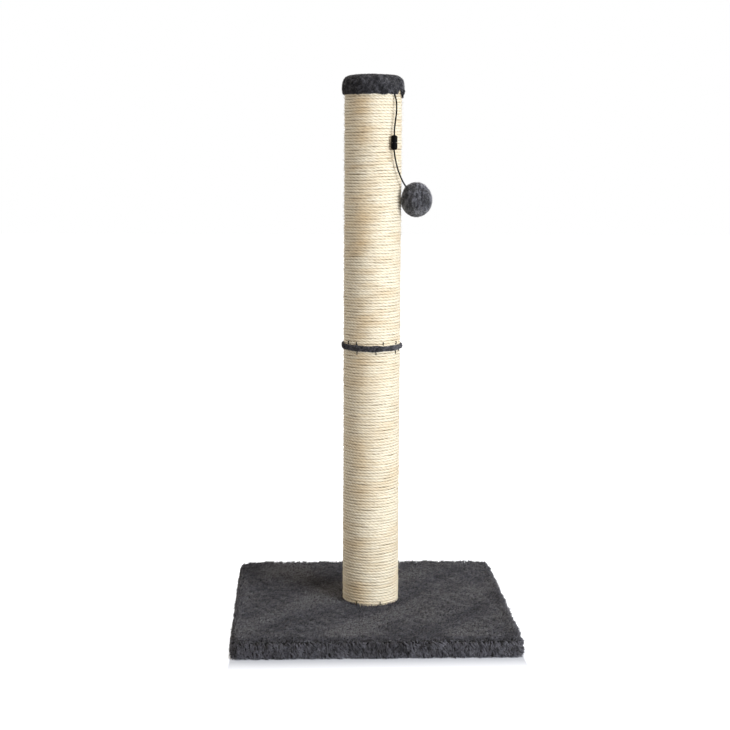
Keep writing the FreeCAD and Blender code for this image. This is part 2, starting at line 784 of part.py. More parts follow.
def make_rope_staples():
    band_middle = joint + S["band_offset"]
    beside = S["staple_gap"] + S["rope_crown"] / 2
    over = rope_staples(STAPLES_OVER_BAND, band_middle + S["band_height"] / 2 + beside)
    under = rope_staples(STAPLES_UNDER_BAND, band_middle - S["band_height"] / 2 - beside)
    at_foot = rope_staples(STAPLES_AT_FOOT, base_top + beside)
    piece(shape_tool("joint_staples_group", Part.makeCompound(over + under)), "joint_staples")
    piece(shape_tool("foot_staples_group", Part.makeCompound(at_foot)), "foot_staples")


def make_post():
    make_end_plug("lower_foot_plug", foot, False)
    make_insert("lower_foot_insert", foot, False)
    make_tube("lower_tube", foot + S["plug_flange"], joint - S["plug_flange"])
    make_end_plug("lower_top_plug", joint, True)
    make_insert("lower_top_insert", joint, True)
    make_joint_stud()
    make_end_plug("upper_foot_plug", joint, False)
    make_insert("upper_foot_insert", joint, False)
    make_tube("upper_tube", joint + S["plug_flange"], post_top)
    make_windings()
    make_joint_band()
    make_rope_staples()


# ---------------------------------------------------------------- cap


def screw_shape(radius, head_radius, depth, length):
    """A countersunk screw, or the room for one, with its top at z = 0."""
    shank = Part.makeCylinder(radius, length, Vector(0, 0, -length))
    head = Part.makeCone(radius, head_radius, depth, Vector(0, 0, -depth))
    return shank.fuse(head).removeSplitter()


def screw_group(shape, top):
    count = int(round(S["screw_count"].number))
    copies = []
    for index in range(count):
        copy = shape.copy()
        spot = around(FULL_TURN * index / count, S["screw_circle"].number / 2, top)
        copy.Placement = FreeCAD.Placement(spot, FreeCAD.Rotation())
        copies.append(copy)
    return Part.makeCompound(copies)


def screw_room(name, length):
    fit = S["screw_fit"].number
    shape = screw_shape(S["screw_diameter"].number / 2 + fit, S["screw_head"].number / 2 + fit,
                        S["screw_head_depth"].number, length)
    return shape_tool(name, screw_group(shape, cap_board_top.number))


def make_top_plug():
    depth = S["top_plug_depth"]
    disc = rod("top_plug_disc", plug_radius, depth, z=post_top - depth)
    room = screw_room("top_plug_pilots", S["screw_length"].number + S["screw_fit"].number)
    piece(cut("top_plug_cut", disc, [room]), "upper_top_plug")


def make_cap_board():
    radius = cap_board_radius
    thick = S["cap_board_thick"]
    profile = [(ZERO, ZERO), (radius, ZERO), (radius, thick), (ZERO, thick)]
    body = turned("cap_board_body", profile, z=post_top)
    round_edges(body, "cap_board_edge", S["cap_board_edge"], ring_edge(radius, thick))
    room = screw_room("cap_board_holes", S["screw_length"].number)
    piece(cut("cap_board_cut", body, [room]), "cap_board")


def make_cap_screws():
    shape = screw_shape(S["screw_diameter"].number / 2, S["screw_head"].number / 2,
                        S["screw_head_depth"].number, S["screw_length"].number)
    piece(shape_tool("cap_screws_group", screw_group(shape, cap_board_top.number)), "cap_screws")


def make_cap_cover():
    """The plush over the cap board and its skirt over the rope, turned in one."""
    bore = rope_outer + S["fabric_clearance"]
    outer = bore + S["skirt_thick"]
    room = cap_board_radius + S["fabric_clearance"]
    skirt = S["cap_skirt"]
    board_level = skirt + S["cap_board_thick"]
    top = board_level + S["plush_top"]
    profile = [(ZERO, board_level), (room, board_level), (room, skirt),
               (bore, skirt - S["skirt_shoulder"]), (bore, ZERO), (outer, ZERO), (outer, top), (ZERO, top)]
    body = turned("cap_cover_body", profile, z=hem)
    round_edges(body, "cap_cover_edge", S["cap_edge"], ring_edge(outer, top))
    round_edges(body, "cap_cover_hem", S["skirt_edge"], ring_edge(outer, ZERO))
    piece(cut("cap_cover_cut", body, [shape_tool("cap_cover_groove", cord_groove())]), "cap_cover")


def cord_groove():
    """Room for the cord's fixed end: a round-bottomed slot in the skirt's inside."""
    half_width = cord_radius.number + S["groove_clearance"].number
    height = S["groove_height"].number + SMALL
    spot = around(CORD_BEARING, cord_stand.number, hem.number - SMALL)
    slot = Part.makeBox(half_width * 2, half_width * 2, height, Vector(-half_width * 2, -half_width, 0))
    slot.Placement = FreeCAD.Placement(spot, FreeCAD.Rotation(UP, CORD_BEARING))
    return Part.makeCylinder(half_width, height, spot).fuse(slot).removeSplitter()


# ---------------------------------------------------------------- hanging toy


def toy_point(bearing, stand_off, drop):
    return around(bearing, rope_outer.number + stand_off, hem.number - drop)


def ball_centre():
    return around(S["ball_bearing"].number, ball_stand.number, hem.number - S["ball_drop"].number)


def mouth_direction():
    """From the ball's centre out through its mouth, where the cord goes in."""
    lean = math.radians(S["mouth_lean"].number)
    return outward(S["mouth_bearing"].number) * math.sin(lean) + UP * math.cos(lean)


def ball_reach(width_radius, tall_radius):
    """The distance from the ball's centre to its surface at the mouth."""
    towards = mouth_direction()
    across = math.hypot(towards.x, towards.y) / width_radius
    return 1 / math.hypot(across, towards.z / tall_radius)


def ball_pivot():
    stand_off = ball_reach(ball_radius.number, ball_half_tall.number) + cord_radius.number
    return ball_centre() + mouth_direction() * (stand_off + S["seat_gap"].number)


def clasp_top():
    return toy_point(*UPPER_ROUTE[-1])


def clasp_bottom():
    return clasp_top() - UP * (S["clasp_half"].number * 2 + S["clasp_parting"].number)


def lower_pivot():
    return clasp_bottom() - UP * (cord_radius.number + S["seat_gap"].number)


def make_cord(name, points, rounded_start, rounded_end):
    piece(shape_tool(name + "_tube", cord_tube(name, points, rounded_start, rounded_end)), name)


def make_toy_cords():
    bearing = CORD_BEARING
    points = [around(bearing, tube_radius.number + out, hem.number + rise) for out, rise in END_ROUTE]
    make_cord("toy_cord_end", points, False, False)
    make_cord("toy_cord_upper", [toy_point(*spot) for spot in UPPER_ROUTE], True, False)
    points = [lower_pivot()] + [toy_point(*spot) for spot in LOWER_ROUTE] + [ball_pivot()]
    make_cord("toy_cord_lower", points, True, True)


def make_toy_staple():
    """The staple that holds the cord's fixed end against the tube, under the skirt."""
    distance = tube_radius.number + END_ROUTE[0][0] + cord_radius.number + S["crown_gap"].number
    staple = staple_on_post(CORD_BEARING, distance, post_top.number - TOY_STAPLE_DROP)
    piece(shape_tool("toy_staple_wire", staple), "toy_staple")


def make_clasp_socket():
    """The clasp's upper half, with a socket in its lower face."""
    radius = S["clasp_diameter"] / 2
    bore = S["prong_diameter"] / 2 + S["prong_fit"]
    depth = S["prong_length"] - S["clasp_parting"] + S["socket_spare"]
    half = S["clasp_half"]
    profile = [(bore, ZERO), (radius, ZERO), (radius, half), (ZERO, half), (ZERO, depth), (bore, depth)]
    top = clasp_top()
    body = turned("clasp_socket_body", profile)
    round_edges(body, "clasp_socket_end", S["clasp_edge"], ring_edge(radius, half))
    body.Placement.Base = top - UP * half.number
    piece(body, "clasp_socket")


def make_clasp_plug():
    """The clasp's lower half, with a prong on its upper face."""
    radius = S["clasp_diameter"] / 2
    prong = S["prong_diameter"] / 2
    half = S["clasp_half"]
    tip = half + S["prong_length"]
    profile = [(ZERO, ZERO), (radius, ZERO), (radius, half), (prong, half), (prong, tip), (ZERO, tip)]
    body = turned("clasp_plug_body", profile)
    round_edges(body, "clasp_plug_end", S["clasp_edge"], ring_edge(radius, ZERO))
    round_edges(body, "clasp_plug_tip", S["prong_tip"], ring_edge(prong, tip))
    body.Placement.Base = clasp_bottom()
    piece(body, "clasp_plug")


def egg(name, width_radius, tall_radius):
    feature = doc.addObject("Part::Ellipsoid", name)
    bind(feature, "Radius1", tall_radius)
    bind(feature, "Radius2", width_radius)
    bind(feature, "Radius3", width_radius)
    feature.Placement.Base = ball_centre()
    return feature


def knot_shape(clearance):
    """The knot inside the ball and the cord from it to the ball's skin."""
    surface = ball_reach(ball_radius.number, ball_half_tall.number)
    centre = ball_centre() + mouth_direction() * (surface - S["ball_skin"].number - S["knot_depth"].number)
    length = S["ball_skin"].number + S["knot_depth"].number
    stem = Part.makeCylinder(cord_radius.number + clearance, length + clearance, centre, mouth_direction())
    knot = Part.makeSphere(S["knot_diameter"].number / 2 + clearance, centre)
    return stem.fuse(knot).removeSplitter()


def make_ball():
    skin = S["ball_skin"]
    gap = S["fabric_clearance"]
    outer = egg("ball_outer", ball_radius, ball_half_tall)
    hollow = egg("ball_hollow", ball_radius - skin, ball_half_tall - skin)
    stem_room = shape_tool("ball_stem_room", knot_shape(gap.number))
    piece(cut("ball_cover_cut", outer, [hollow, stem_room]), "ball_cover")
    stuffing = egg("ball_stuffing", ball_radius - skin - gap, ball_half_tall - skin - gap)
    knot_room = shape_tool("ball_knot_room", knot_shape(gap.number))
    piece(cut("ball_filling_cut", stuffing, [knot_room]), "ball_filling")
    piece(shape_tool("ball_knot_tied", knot_shape(0.0)), "ball_knot")


def make_toy():
    make_toy_staple()
    make_toy_cords()
    make_clasp_socket()
    make_clasp_plug()
    make_ball()


# ---------------------------------------------------------------- the whole post


def check_document():
    for item in doc.Objects:
        if "Invalid" in item.State or "Error" in item.State:
            raise ValueError("failed: " + item.Label)
    for feature in pieces:
        if feature.Shape.isNull() or not feature.Shape.isValid():
            raise ValueError("bad shape: " + feature.Label)


def write_pieces():
    os.makedirs("parts", exist_ok=True)
    for feature in pieces:
        feature.Shape.exportStep("parts/" + feature.Label + ".step")


def print_joints():
    """The places and axes that the toy's joints turn about."""
    away = outward(S["ball_bearing"].number)
    for name, spot in (("toy pivot", toy_point(*UPPER_ROUTE[0])), ("lower pivot", lower_pivot()),
                       ("ball pivot", ball_pivot()), ("ball centre", ball_centre()), ("away", away),
                       ("clasp top", clasp_top()), ("clasp bottom", clasp_bottom())):
        print(name + ": " + ", ".join(format(value, ".3f") for value in spot))


make_base_board()
make_base_cover()
make_base_staples()
make_base_underlay()
make_base_washer()
make_base_bolt()
make_post()
make_top_plug()
make_cap_board()
make_cap_screws()
make_cap_cover()
make_toy()
doc.recompute()
check_document()
write_pieces()
print_joints()
print(str(len(pieces)) + " pieces written")
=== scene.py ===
"""Scratching post: plush base, two rope-wound sections, plush cap and a ball on a cord."""

import json
import math

import bpy
import numpy as np
from mathutils import Matrix, Vector


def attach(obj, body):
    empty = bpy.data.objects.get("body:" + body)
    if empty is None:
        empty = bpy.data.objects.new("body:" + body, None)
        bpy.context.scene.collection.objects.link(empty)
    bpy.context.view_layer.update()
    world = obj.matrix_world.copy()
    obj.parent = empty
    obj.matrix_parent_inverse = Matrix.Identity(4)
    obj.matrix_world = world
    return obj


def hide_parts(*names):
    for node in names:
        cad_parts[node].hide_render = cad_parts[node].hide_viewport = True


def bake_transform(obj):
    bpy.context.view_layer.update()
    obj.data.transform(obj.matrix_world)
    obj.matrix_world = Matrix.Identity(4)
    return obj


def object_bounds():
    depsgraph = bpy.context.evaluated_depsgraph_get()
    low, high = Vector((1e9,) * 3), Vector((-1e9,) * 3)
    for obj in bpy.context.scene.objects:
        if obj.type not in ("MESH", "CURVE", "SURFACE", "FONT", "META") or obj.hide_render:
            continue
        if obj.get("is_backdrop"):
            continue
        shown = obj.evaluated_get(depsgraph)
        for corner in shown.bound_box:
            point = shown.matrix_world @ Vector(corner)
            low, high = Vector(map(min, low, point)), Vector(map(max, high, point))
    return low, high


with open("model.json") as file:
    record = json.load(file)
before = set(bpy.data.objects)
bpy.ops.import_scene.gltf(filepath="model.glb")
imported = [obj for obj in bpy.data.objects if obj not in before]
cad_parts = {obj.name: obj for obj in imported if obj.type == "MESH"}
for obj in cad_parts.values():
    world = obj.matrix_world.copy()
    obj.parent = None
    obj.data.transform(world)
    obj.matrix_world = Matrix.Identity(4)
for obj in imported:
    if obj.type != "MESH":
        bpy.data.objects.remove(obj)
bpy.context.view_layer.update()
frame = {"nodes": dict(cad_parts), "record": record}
nodes = frame["nodes"]

MM = 0.001

# The post, as the CAD has it.
TUBE_RADIUS = 38.1 * MM
WINDING_RADIUS = 40.3 * MM
ROPE_SURFACE = 42.2 * MM
ROPE_RADIUS = 1.9 * MM
ROPE_PITCH = 4.25 * MM
FOOT = 23.0 * MM
JOINT = 410.5 * MM
WINDING_TOP = 791.0 * MM
HEM = 779.0 * MM

# The toy.
CORD_BEARING = -47.8
CORD_THICK = 2.2 * MM
BALL_CENTRE = np.array((63.008, -16.765, 628.5)) * MM
BALL_HALF = np.array((22.7, 22.7, 25.0)) * MM
LOWER_PIVOT = np.array((28.598, -37.676, 698.3)) * MM
BALL_PIVOT = np.array((46.927, -22.491, 647.129)) * MM
INTO_CLASP = np.array((-0.4, -0.3, 2.4)) * MM
INTO_BALL = np.array((1.9, 0.7, -2.2)) * MM

# How many tufts are scattered over each plush part, and loose fibres over each section of rope.
BASE_TUFTS = 104000
CAP_TUFTS = 46000
WISP_TUFTS = 260
BAND_TUFTS = 5200
BALL_TUFTS = 16000
ROPE_FIBRES = 3600


# ---------------------------------------------------------------- meshes


def on_post(bearing, distance, height):
    """A point at a bearing in degrees round the post, all lengths in metres."""
    turn = math.radians(bearing)
    return np.array((distance * math.cos(turn), distance * math.sin(turn), height))


def unit(vectors):
    """The vectors, each scaled to a length of 1."""
    return vectors / np.maximum(np.linalg.norm(vectors, axis=-1, keepdims=True), 1e-12)


def ripple(points, wavelength, seed, waves=9):
    """A smooth, seeded unevenness between about -1 and 1, with that wavelength in metres."""
    rng = np.random.default_rng(seed)
    directions = unit(rng.normal(size=(waves, points.shape[1])))
    lengths = wavelength * rng.uniform(0.6, 1.6, waves)
    phases = rng.uniform(0, 2 * math.pi, waves)
    turns = points @ directions.T * (2 * math.pi / lengths) + phases
    return np.sin(turns).sum(axis=1) / math.sqrt(waves / 2) / 1.6


def near(bearings, middle, half_width):
    """1 at a bearing, falling to 0 some half widths away, in degrees."""
    apart = (bearings - middle + 180) % 360 - 180
    return np.exp(-((apart / half_width) ** 2))


def mesh_piece(name, points, faces, material, body=None, marks=None, runs=None):
    """A smooth mesh from arrays of points and of three- or four-sided faces.

    marks are named numbers at each point, and runs are the rope_run coordinates at each corner.
    """
    mesh = bpy.data.meshes.new(name)
    corners = np.concatenate([f.ravel() for f in faces]).astype(np.int32)
    sizes = np.concatenate([np.full(len(f), f.shape[1]) for f in faces])
    starts = np.concatenate([[0], np.cumsum(sizes)[:-1]]).astype(np.int32)
    mesh.vertices.add(len(points))
    mesh.vertices.foreach_set("co", points.astype(np.float32).ravel())
    mesh.loops.add(len(corners))
    mesh.loops.foreach_set("vertex_index", corners)
    mesh.polygons.add(len(starts))
    mesh.polygons.foreach_set("loop_start", starts)
    mesh.polygons.foreach_set("use_smooth", np.ones(len(starts), bool))
    for mark, values in (marks or {}).items():
        mesh.attributes.new(mark, "FLOAT", "POINT").data.foreach_set(
            "value", values.astype(np.float32)
        )
    if runs is not None:
        mesh.uv_layers.new(name="rope_run").uv.foreach_set("vector", runs.astype(np.float32).ravel())
    mesh.update(calc_edges=True)
    mesh.materials.append(material)
    piece = bpy.data.objects.new(name, mesh)
    bpy.context.scene.collection.objects.link(piece)
    if body:
        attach(piece, body)
    return piece


def rings_to_faces(rings, around, closed=True):
    """The four-sided faces between rings of points that follow each other."""
    ring = np.arange(rings - 1)[:, None] * around
    step = np.arange(around if closed else around - 1)[None, :]
    after = (step + 1) % around
    following = ring + around
    return np.stack([ring + step, ring + after, following + after, following + step], -1).reshape(-1, 4)


# ---------------------------------------------------------------- materials


def colour(code):
    """An sRGB hex colour as Blender's linear one."""
    parts = [int(code[i : i + 2], 16) / 255 for i in (1, 3, 5)]
    return tuple(p / 12.92 if p <= 0.04045 else ((p + 0.055) / 1.055) ** 2.4 for p in parts) + (1.0,)


def add(material, kind, inputs=None, **settings):
    """Adds a node with its settings. An input is a value, or another node's socket to link."""
    tree = material.node_tree
    node = tree.nodes.new("ShaderNode" + kind)
    for setting, value in settings.items():
        setattr(node, setting, value)
    for name, value in (inputs or {}).items():
        if isinstance(value, bpy.types.NodeSocket):
            tree.links.new(value, node.inputs[name])
        else:
            node.inputs[name].default_value = value
    return node


def new_material(name, surface):
    """A material whose shader's own sockets are set from surface."""
    material = bpy.data.materials.new(name)
    material.use_nodes = True
    material.node_tree.nodes.clear()
    shader = add(material, "BsdfPrincipled", surface)
    add(material, "OutputMaterial", {"Surface": shader.outputs[0]})
    return material, shader


def link(material, output, shader, name):
    """Links a node's output to one of the shader's own sockets."""
    material.node_tree.links.new(output, shader.inputs[name])


def plush(name, root, middle, tip, tint, roughness=0.9, sheen=0.25):
    """Knitted polyester plush: matt pile that is dark at its roots and paler at its tips."""
    material, shader = new_material(
        name,
        {"Roughness": roughness, "Specular IOR Level": 0.12, "Sheen Weight": sheen, "Sheen Roughness": 0.45},
    )
    rise = add(material, "Attribute", attribute_name="rise")
    tone = add(material, "Attribute", attribute_name="tone")
    low = add(
        material,
        "Mix",
        {0: rise.outputs["Fac"], 6: colour(root), 7: colour(middle)},
        data_type="RGBA",
    )
    toned = add(
        material,
        "Mix",
        {0: tone.outputs["Fac"], 6: low.outputs[2], 7: colour(tip)},
        data_type="RGBA",
    )
    # The dye takes unevenly, in patches about 60 mm across.
    place = add(material, "TexCoord")
    patches = add(
        material,
        "TexNoise",
        {"Vector": place.outputs["Object"], "Scale": 1.0 / (60 * MM), "Detail": 2.0},
    )
    share = add(
        material,
        "MapRange",
        {"Value": patches.outputs["Fac"], "From Min": 0.45, "From Max": 0.7, "To Max": 0.22},
    )
    dyed = add(
        material,
        "Mix",
        {0: share.outputs[0], 6: toned.outputs[2], 7: colour(tint)},
        data_type="RGBA",
        blend_type="OVERLAY",
    )
    link(material, dyed.outputs[2], shader, "Base Color")
    return material


def sisal_rope():
    """Twisted sisal: dry, pale gold plant fibre, a little glossy along its strands."""
    material, shader = new_material("twisted_sisal", {"Roughness": 0.62, "Specular IOR Level": 0.35})
    run = add(material, "UVMap", uv_map="rope_run")
    painted_groove_shade = add(material, "Attribute", attribute_name="painted_groove_shade")
    tone = add(material, "Attribute", attribute_name="tone")
    # Sisal fibres are about 0.2 mm thick, too fine to show, so streaks 0.5 mm wide and 6 mm long
    # stand for bundles of them. The run is in metres along the rope and in turns round it.
    streak_place = add(material, "Mapping", {"Vector": run.outputs[0], "Scale": (160.0, 26.0, 1.0)})
    streaks = add(
        material,
        "TexNoise",
        {"Vector": streak_place.outputs[0], "Scale": 1.0, "Detail": 3.0, "Roughness": 0.6},
        noise_dimensions="2D",
    )
    streak_share = add(
        material,
        "MapRange",
        {"Value": streaks.outputs["Fac"], "From Min": 0.35, "From Max": 0.68},
    )
    fibre = add(
        material,
        "Mix",
        {0: streak_share.outputs[0], 6: colour("#FBF5E4"), 7: colour("#F0E5C6")},
        data_type="RGBA",
    )
    # The tone mark holds random honey patches and, on the wound rope, a band of painted shade.
    honey = add(
        material,
        "Mix",
        {0: tone.outputs["Fac"], 6: fibre.outputs[2], 7: colour("#D0AE74")},
        data_type="RGBA",
    )
    # Painted shade: where the groove mark is low, in the grooves between turns, the colour darkens towards
    # brown.
    deep = add(
        material,
        "Mix",
        {0: painted_groove_shade.outputs["Fac"], 6: colour("#8A6C3E"), 7: honey.outputs[2]},
        data_type="RGBA",
    )
    # The three strands meet in grooves, a third of the way round from each other. There the colour is
    # darkened towards brown as painted shade, and a bump dents the surface.
    sides = add(material, "SeparateXYZ", {0: run.outputs[0]})
    thirds = add(material, "Math", {0: sides.outputs[1], 1: 3 * math.pi}, operation="MULTIPLY")
    wave = add(material, "Math", {0: thirds.outputs[0]}, operation="SINE")
    strand = add(material, "Math", {0: wave.outputs[0]}, operation="ABSOLUTE")
    rounded = add(material, "Math", {0: strand.outputs[0], 1: 0.45}, operation="POWER")
    grooved = add(
        material,
        "MapRange",
        {"Value": rounded.outputs[0], "From Min": 0.40, "From Max": 0.80, "To Min": 0.68},
    )
    shaded = add(
        material,
        "Mix",
        {0: grooved.outputs[0], 6: colour("#7D6137"), 7: deep.outputs[2]},
        data_type="RGBA",
    )
    link(material, shaded.outputs[2], shader, "Base Color")
    laid = add(
        material,
        "Bump",
        {"Height": rounded.outputs[0], "Strength": 0.45, "Distance": 0.4 * MM},
    )
    bump = add(
        material,
        "Bump",
        {
            "Height": streaks.outputs["Fac"],
            "Strength": 0.5,
            "Distance": 0.15 * MM,
            "Normal": laid.outputs[0],
        },
    )
    link(material, bump.outputs[0], shader, "Normal")
    return material


def plain(name, base, roughness, grain=0.6, unevenness=0.05, **surface):
    """A moulded, cut or drawn surface with fine grain of that size in millimetres."""
    material, shader = new_material(name, {"Roughness": roughness, **surface})
    place = add(material, "TexCoord")
    noise = add(
        material,
        "TexNoise",
        {"Vector": place.outputs["Object"], "Scale": 1.0 / (grain * MM), "Detail": 3.0},
    )
    shade = add(
        material,
        "MapRange",
        {"Value": noise.outputs["Fac"], "To Min": 1.0 - unevenness, "To Max": 1.0 + unevenness},
    )
    tinted = add(
        material,
        "HueSaturation",
        {"Color": colour(base), "Value": shade.outputs[0]},
    )
    link(material, tinted.outputs[0], shader, "Base Color")
    bump = add(
        material,
        "Bump",
        {"Height": noise.outputs["Fac"], "Strength": 0.25, "Distance": 0.1 * MM},
    )
    link(material, bump.outputs[0], shader, "Normal")
    return material


def braided_cord():
    """Black polyester braid: matt yarns that cross each other about a millimetre apart."""
    material, shader = new_material("braided_cord_black", {"Roughness": 0.75, "Specular IOR Level": 0.1})
    run = add(material, "UVMap", uv_map="rope_run")
    # Four yarns go each way round the cord, and each comes round every 8 mm.
    yarns, yarn_lay = 4.0, 8 * MM
    heights = []
    for way in (1, -1):
        course = (1 / yarn_lay, yarns * way, 0)
        turned = add(material, "VectorMath", {0: run.outputs[0], 1: course}, operation="DOT_PRODUCT")
        angle = add(material, "Math", {0: turned.outputs["Value"], 1: 2 * math.pi}, operation="MULTIPLY")
        heights.append(add(material, "Math", {0: angle.outputs[0]}, operation="SINE"))
    crossed = add(material, "Math", {0: heights[0].outputs[0], 1: heights[1].outputs[0]}, operation="MAXIMUM")
    shade = add(
        material,
        "MapRange",
        {"Value": crossed.outputs[0], "From Min": -0.4, "From Max": 1.0},
    )
    yarn = add(
        material,
        "Mix",
        {0: shade.outputs[0], 6: colour("#020202"), 7: colour("#101011")},
        data_type="RGBA",
    )
    link(material, yarn.outputs[2], shader, "Base Color")
    bump = add(material, "Bump", {"Height": crossed.outputs[0], "Strength": 0.6, "Distance": 0.12 * MM})
    link(material, bump.outputs[0], shader, "Normal")
    return material


BASE_PLUSH = plush("base_plush_charcoal", "#1B1B1D", "#3F3F43", "#73737B", "#86807A")
CAP_PLUSH = plush("cap_plush_charcoal", "#0E0E10", "#2C2C30", "#73737A", "#828284")
BALL_PLUSH = plush("ball_plush_slate", "#0E0E10", "#2A2B2F", "#9798A1", "#848486", sheen=0.9)
SISAL = sisal_rope()
BRAID = braided_cord()
CLASP = plain("clasp_nylon_black", "#020202", 0.55, grain=0.8, **{"Specular IOR Level": 0.06})
ZINC = plain("zinc_plated_steel", "#B9BCC0", 0.32, grain=0.5, Metallic=1.0)
# The staples are coloured near black, darker than zinc steel.
DARK_STEEL = plain("near_black_staples", "#141312", 0.6, grain=0.5, **{"Specular IOR Level": 0.2})
BRASS = plain("turned_brass", "#B59A5B", 0.3, grain=0.5, Metallic=1.0)
CHIPBOARD = plain("raw_chipboard", "#B79A6C", 0.85, grain=2.0, unevenness=0.2)
KRAFT = plain("wound_kraft_tube", "#A98B63", 0.85, grain=1.2, unevenness=0.1)
PLUG = plain("moulded_polypropylene", "#2B2C2E", 0.5, grain=0.7)
FILLING = plain("polyester_filling", "#E9E8E4", 0.95, grain=1.0)
DUST_SHEET = plain("nonwoven_dust_sheet", "#2A2A2C", 0.9, grain=1.0, unevenness=0.15)

BY_SLOT = {
    "board": CHIPBOARD,
    "paper_tube": KRAFT,
    "plug_plastic": PLUG,
    "zinc_steel": ZINC,
    "brass_insert": BRASS,
    "clasp_plastic": CLASP,
    "stuffing": FILLING,
    "dust_sheet": DUST_SHEET,
    "cord": BRAID,
}

BY_NODE = {"joint_staples": DARK_STEEL, "foot_staples": DARK_STEEL, "toy_staple": DARK_STEEL}

# ---------------------------------------------------------------- camera

CAMERA_PLACE = np.array((-111.65, -2240.1, 704.4)) * MM
PITCH, YAW, ROLL = (math.radians(a) for a in (8.15, -2.60, 0.31))
FOCAL_PIXELS, IMAGE_WIDTH = 1525.2, 730

forward = Vector((-math.sin(YAW) * math.cos(PITCH), math.cos(YAW) * math.cos(PITCH), -math.sin(PITCH)))
level = Vector((math.cos(YAW), math.sin(YAW), 0.0))
upright = level.cross(forward)
right = level * math.cos(ROLL) + upright * math.sin(ROLL)
up = upright * math.cos(ROLL) - level * math.sin(ROLL)
lens = bpy.data.cameras.new("camera")
lens.sensor_width = 36.0
lens.lens = FOCAL_PIXELS / IMAGE_WIDTH * lens.sensor_width
lens.clip_start, lens.clip_end = 0.05, 50.0
camera = bpy.data.objects.new("camera", lens)
turned = Matrix((right, up, -forward)).transposed().to_4x4()
camera.matrix_world = Matrix.Translation(Vector(CAMERA_PLACE)) @ turned
bpy.context.scene.collection.objects.link(camera)
bpy.context.scene.camera = camera

# ---------------------------------------------------------------- toy cords


def line_of(name, route):
    """The points of the smooth NURBS line that a cord's route steers, in metres."""
    curve = bpy.data.curves.new(name + "_line", "CURVE")
    curve.dimensions = "3D"
    spline = curve.splines.new("NURBS")
    spline.points.add(len(route) - 1)
    for point, place in zip(spline.points, route):
        point.co = (*place, 1.0)
    spline.order_u = 3
    spline.use_endpoint_u = True
    spline.resolution_u = 12
    holder = bpy.data.objects.new(name + "_line", curve)
    mesh = bpy.data.meshes.new_from_object(holder)
    points = np.array([v.co for v in mesh.vertices], float)
    bpy.data.objects.remove(holder)
    bpy.data.meshes.remove(mesh)
    bpy.data.curves.remove(curve)
    return points


def cord_piece(name, route, around=12):
    """A braided cord along a route: a closed tube with flat ends, and the line it follows."""
    line = line_of(name, route)
    along = unit(np.gradient(line, axis=0))
    side = np.cross(along[0], (0.0, 0.0, 1.0))
    if np.linalg.norm(side) < 0.1:
        side = np.cross(along[0], (1.0, 0.0, 0.0))
    side = unit(side)
    rings = []
    run = np.concatenate([[0], np.cumsum(np.linalg.norm(np.diff(line, axis=0), axis=1))])
    angles = np.arange(around) * 2 * math.pi / around
    for place, heading in zip(line, along):
        side = unit(side - heading * (side @ heading))
        other = np.cross(heading, side)
        circle = np.cos(angles)[:, None] * side + np.sin(angles)[:, None] * other
        rings.append(place + CORD_THICK / 2 * circle)
    points = np.concatenate([*rings, line[:1], line[-1:]])
    quads = rings_to_faces(len(line), around)
    first, last = len(line) * around, len(line) * around + 1
    step = np.arange(around)
    after = (step + 1) % around
    start_cap = np.stack([after, step, np.full(around, first)], -1)
    end_ring = (len(line) - 1) * around
    end_cap = np.stack([end_ring + step, end_ring + after, np.full(around, last)], -1)
    column = np.arange(around)
    corner_runs = np.stack(
        [
            np.stack([np.repeat(run[:-1], around), np.tile(column, len(line) - 1) / around], -1),
            np.stack([np.repeat(run[:-1], around), (np.tile(column, len(line) - 1) + 1) / around], -1),
            np.stack([np.repeat(run[1:], around), (np.tile(column, len(line) - 1) + 1) / around], -1),
            np.stack([np.repeat(run[1:], around), np.tile(column, len(line) - 1) / around], -1),
        ],
        1,
    ).reshape(-1, 2)
    cap_runs = np.zeros((6 * around, 2))
    piece = mesh_piece(
        name,
        points,
        [quads, start_cap, end_cap],
        BRAID,
        runs=np.concatenate([corner_runs, cap_runs]),
    )
    return piece, line, run[-1]


# Each pair is a distance out from the tube and a height over the hem, in millimetres.
END_ROUTE = ((1.4, 17.8), (1.5, 14.4), (5.6, 11.4), (5.65, 5.6), (5.5, -0.8))
# Each row is a bearing in degrees, then a distance out from the rope and a drop from the hem.
UPPER_ROUTE = (
    (-47.8, 1.4, 2.2),
    (-47.6, 4.4, 8.5),
    (-48.2, 5.8, 21.5),
    (-50.4, 5.8, 35.0),
    (-52.8, 5.1, 48.0),
    (-52.8, 5.1, 58.2),
)
LOWER_ROUTE = (
    (-51.0, 5.2, 89.5),
    (-47.0, 5.1, 100.2),
    (-41.5, 5.8, 111.5),
    (-34.4, 7.4, 122.7),
)
end_places = [on_post(CORD_BEARING, TUBE_RADIUS + out * MM, HEM + rise * MM) for out, rise in END_ROUTE]
upper_places = [
    on_post(bearing, ROPE_SURFACE + out * MM, HEM - drop * MM) for bearing, out, drop in UPPER_ROUTE
]
lower_places = [
    on_post(bearing, ROPE_SURFACE + out * MM, HEM - drop * MM) for bearing, out, drop in LOWER_ROUTE
]

upper_cord, upper_line, upper_length = cord_piece("toy_cord_above_clasp", end_places + upper_places)
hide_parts("toy_cord_end", "toy_cord_upper")
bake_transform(upper_cord)
lower_cord, lower_line, lower_length = cord_piece(
    "toy_cord_below_clasp",
    [LOWER_PIVOT + INTO_CLASP, LOWER_PIVOT, *lower_places, BALL_PIVOT, BALL_PIVOT + INTO_BALL],
)
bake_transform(lower_cord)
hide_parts("toy_cord_lower")

# ---------------------------------------------------------------- rope


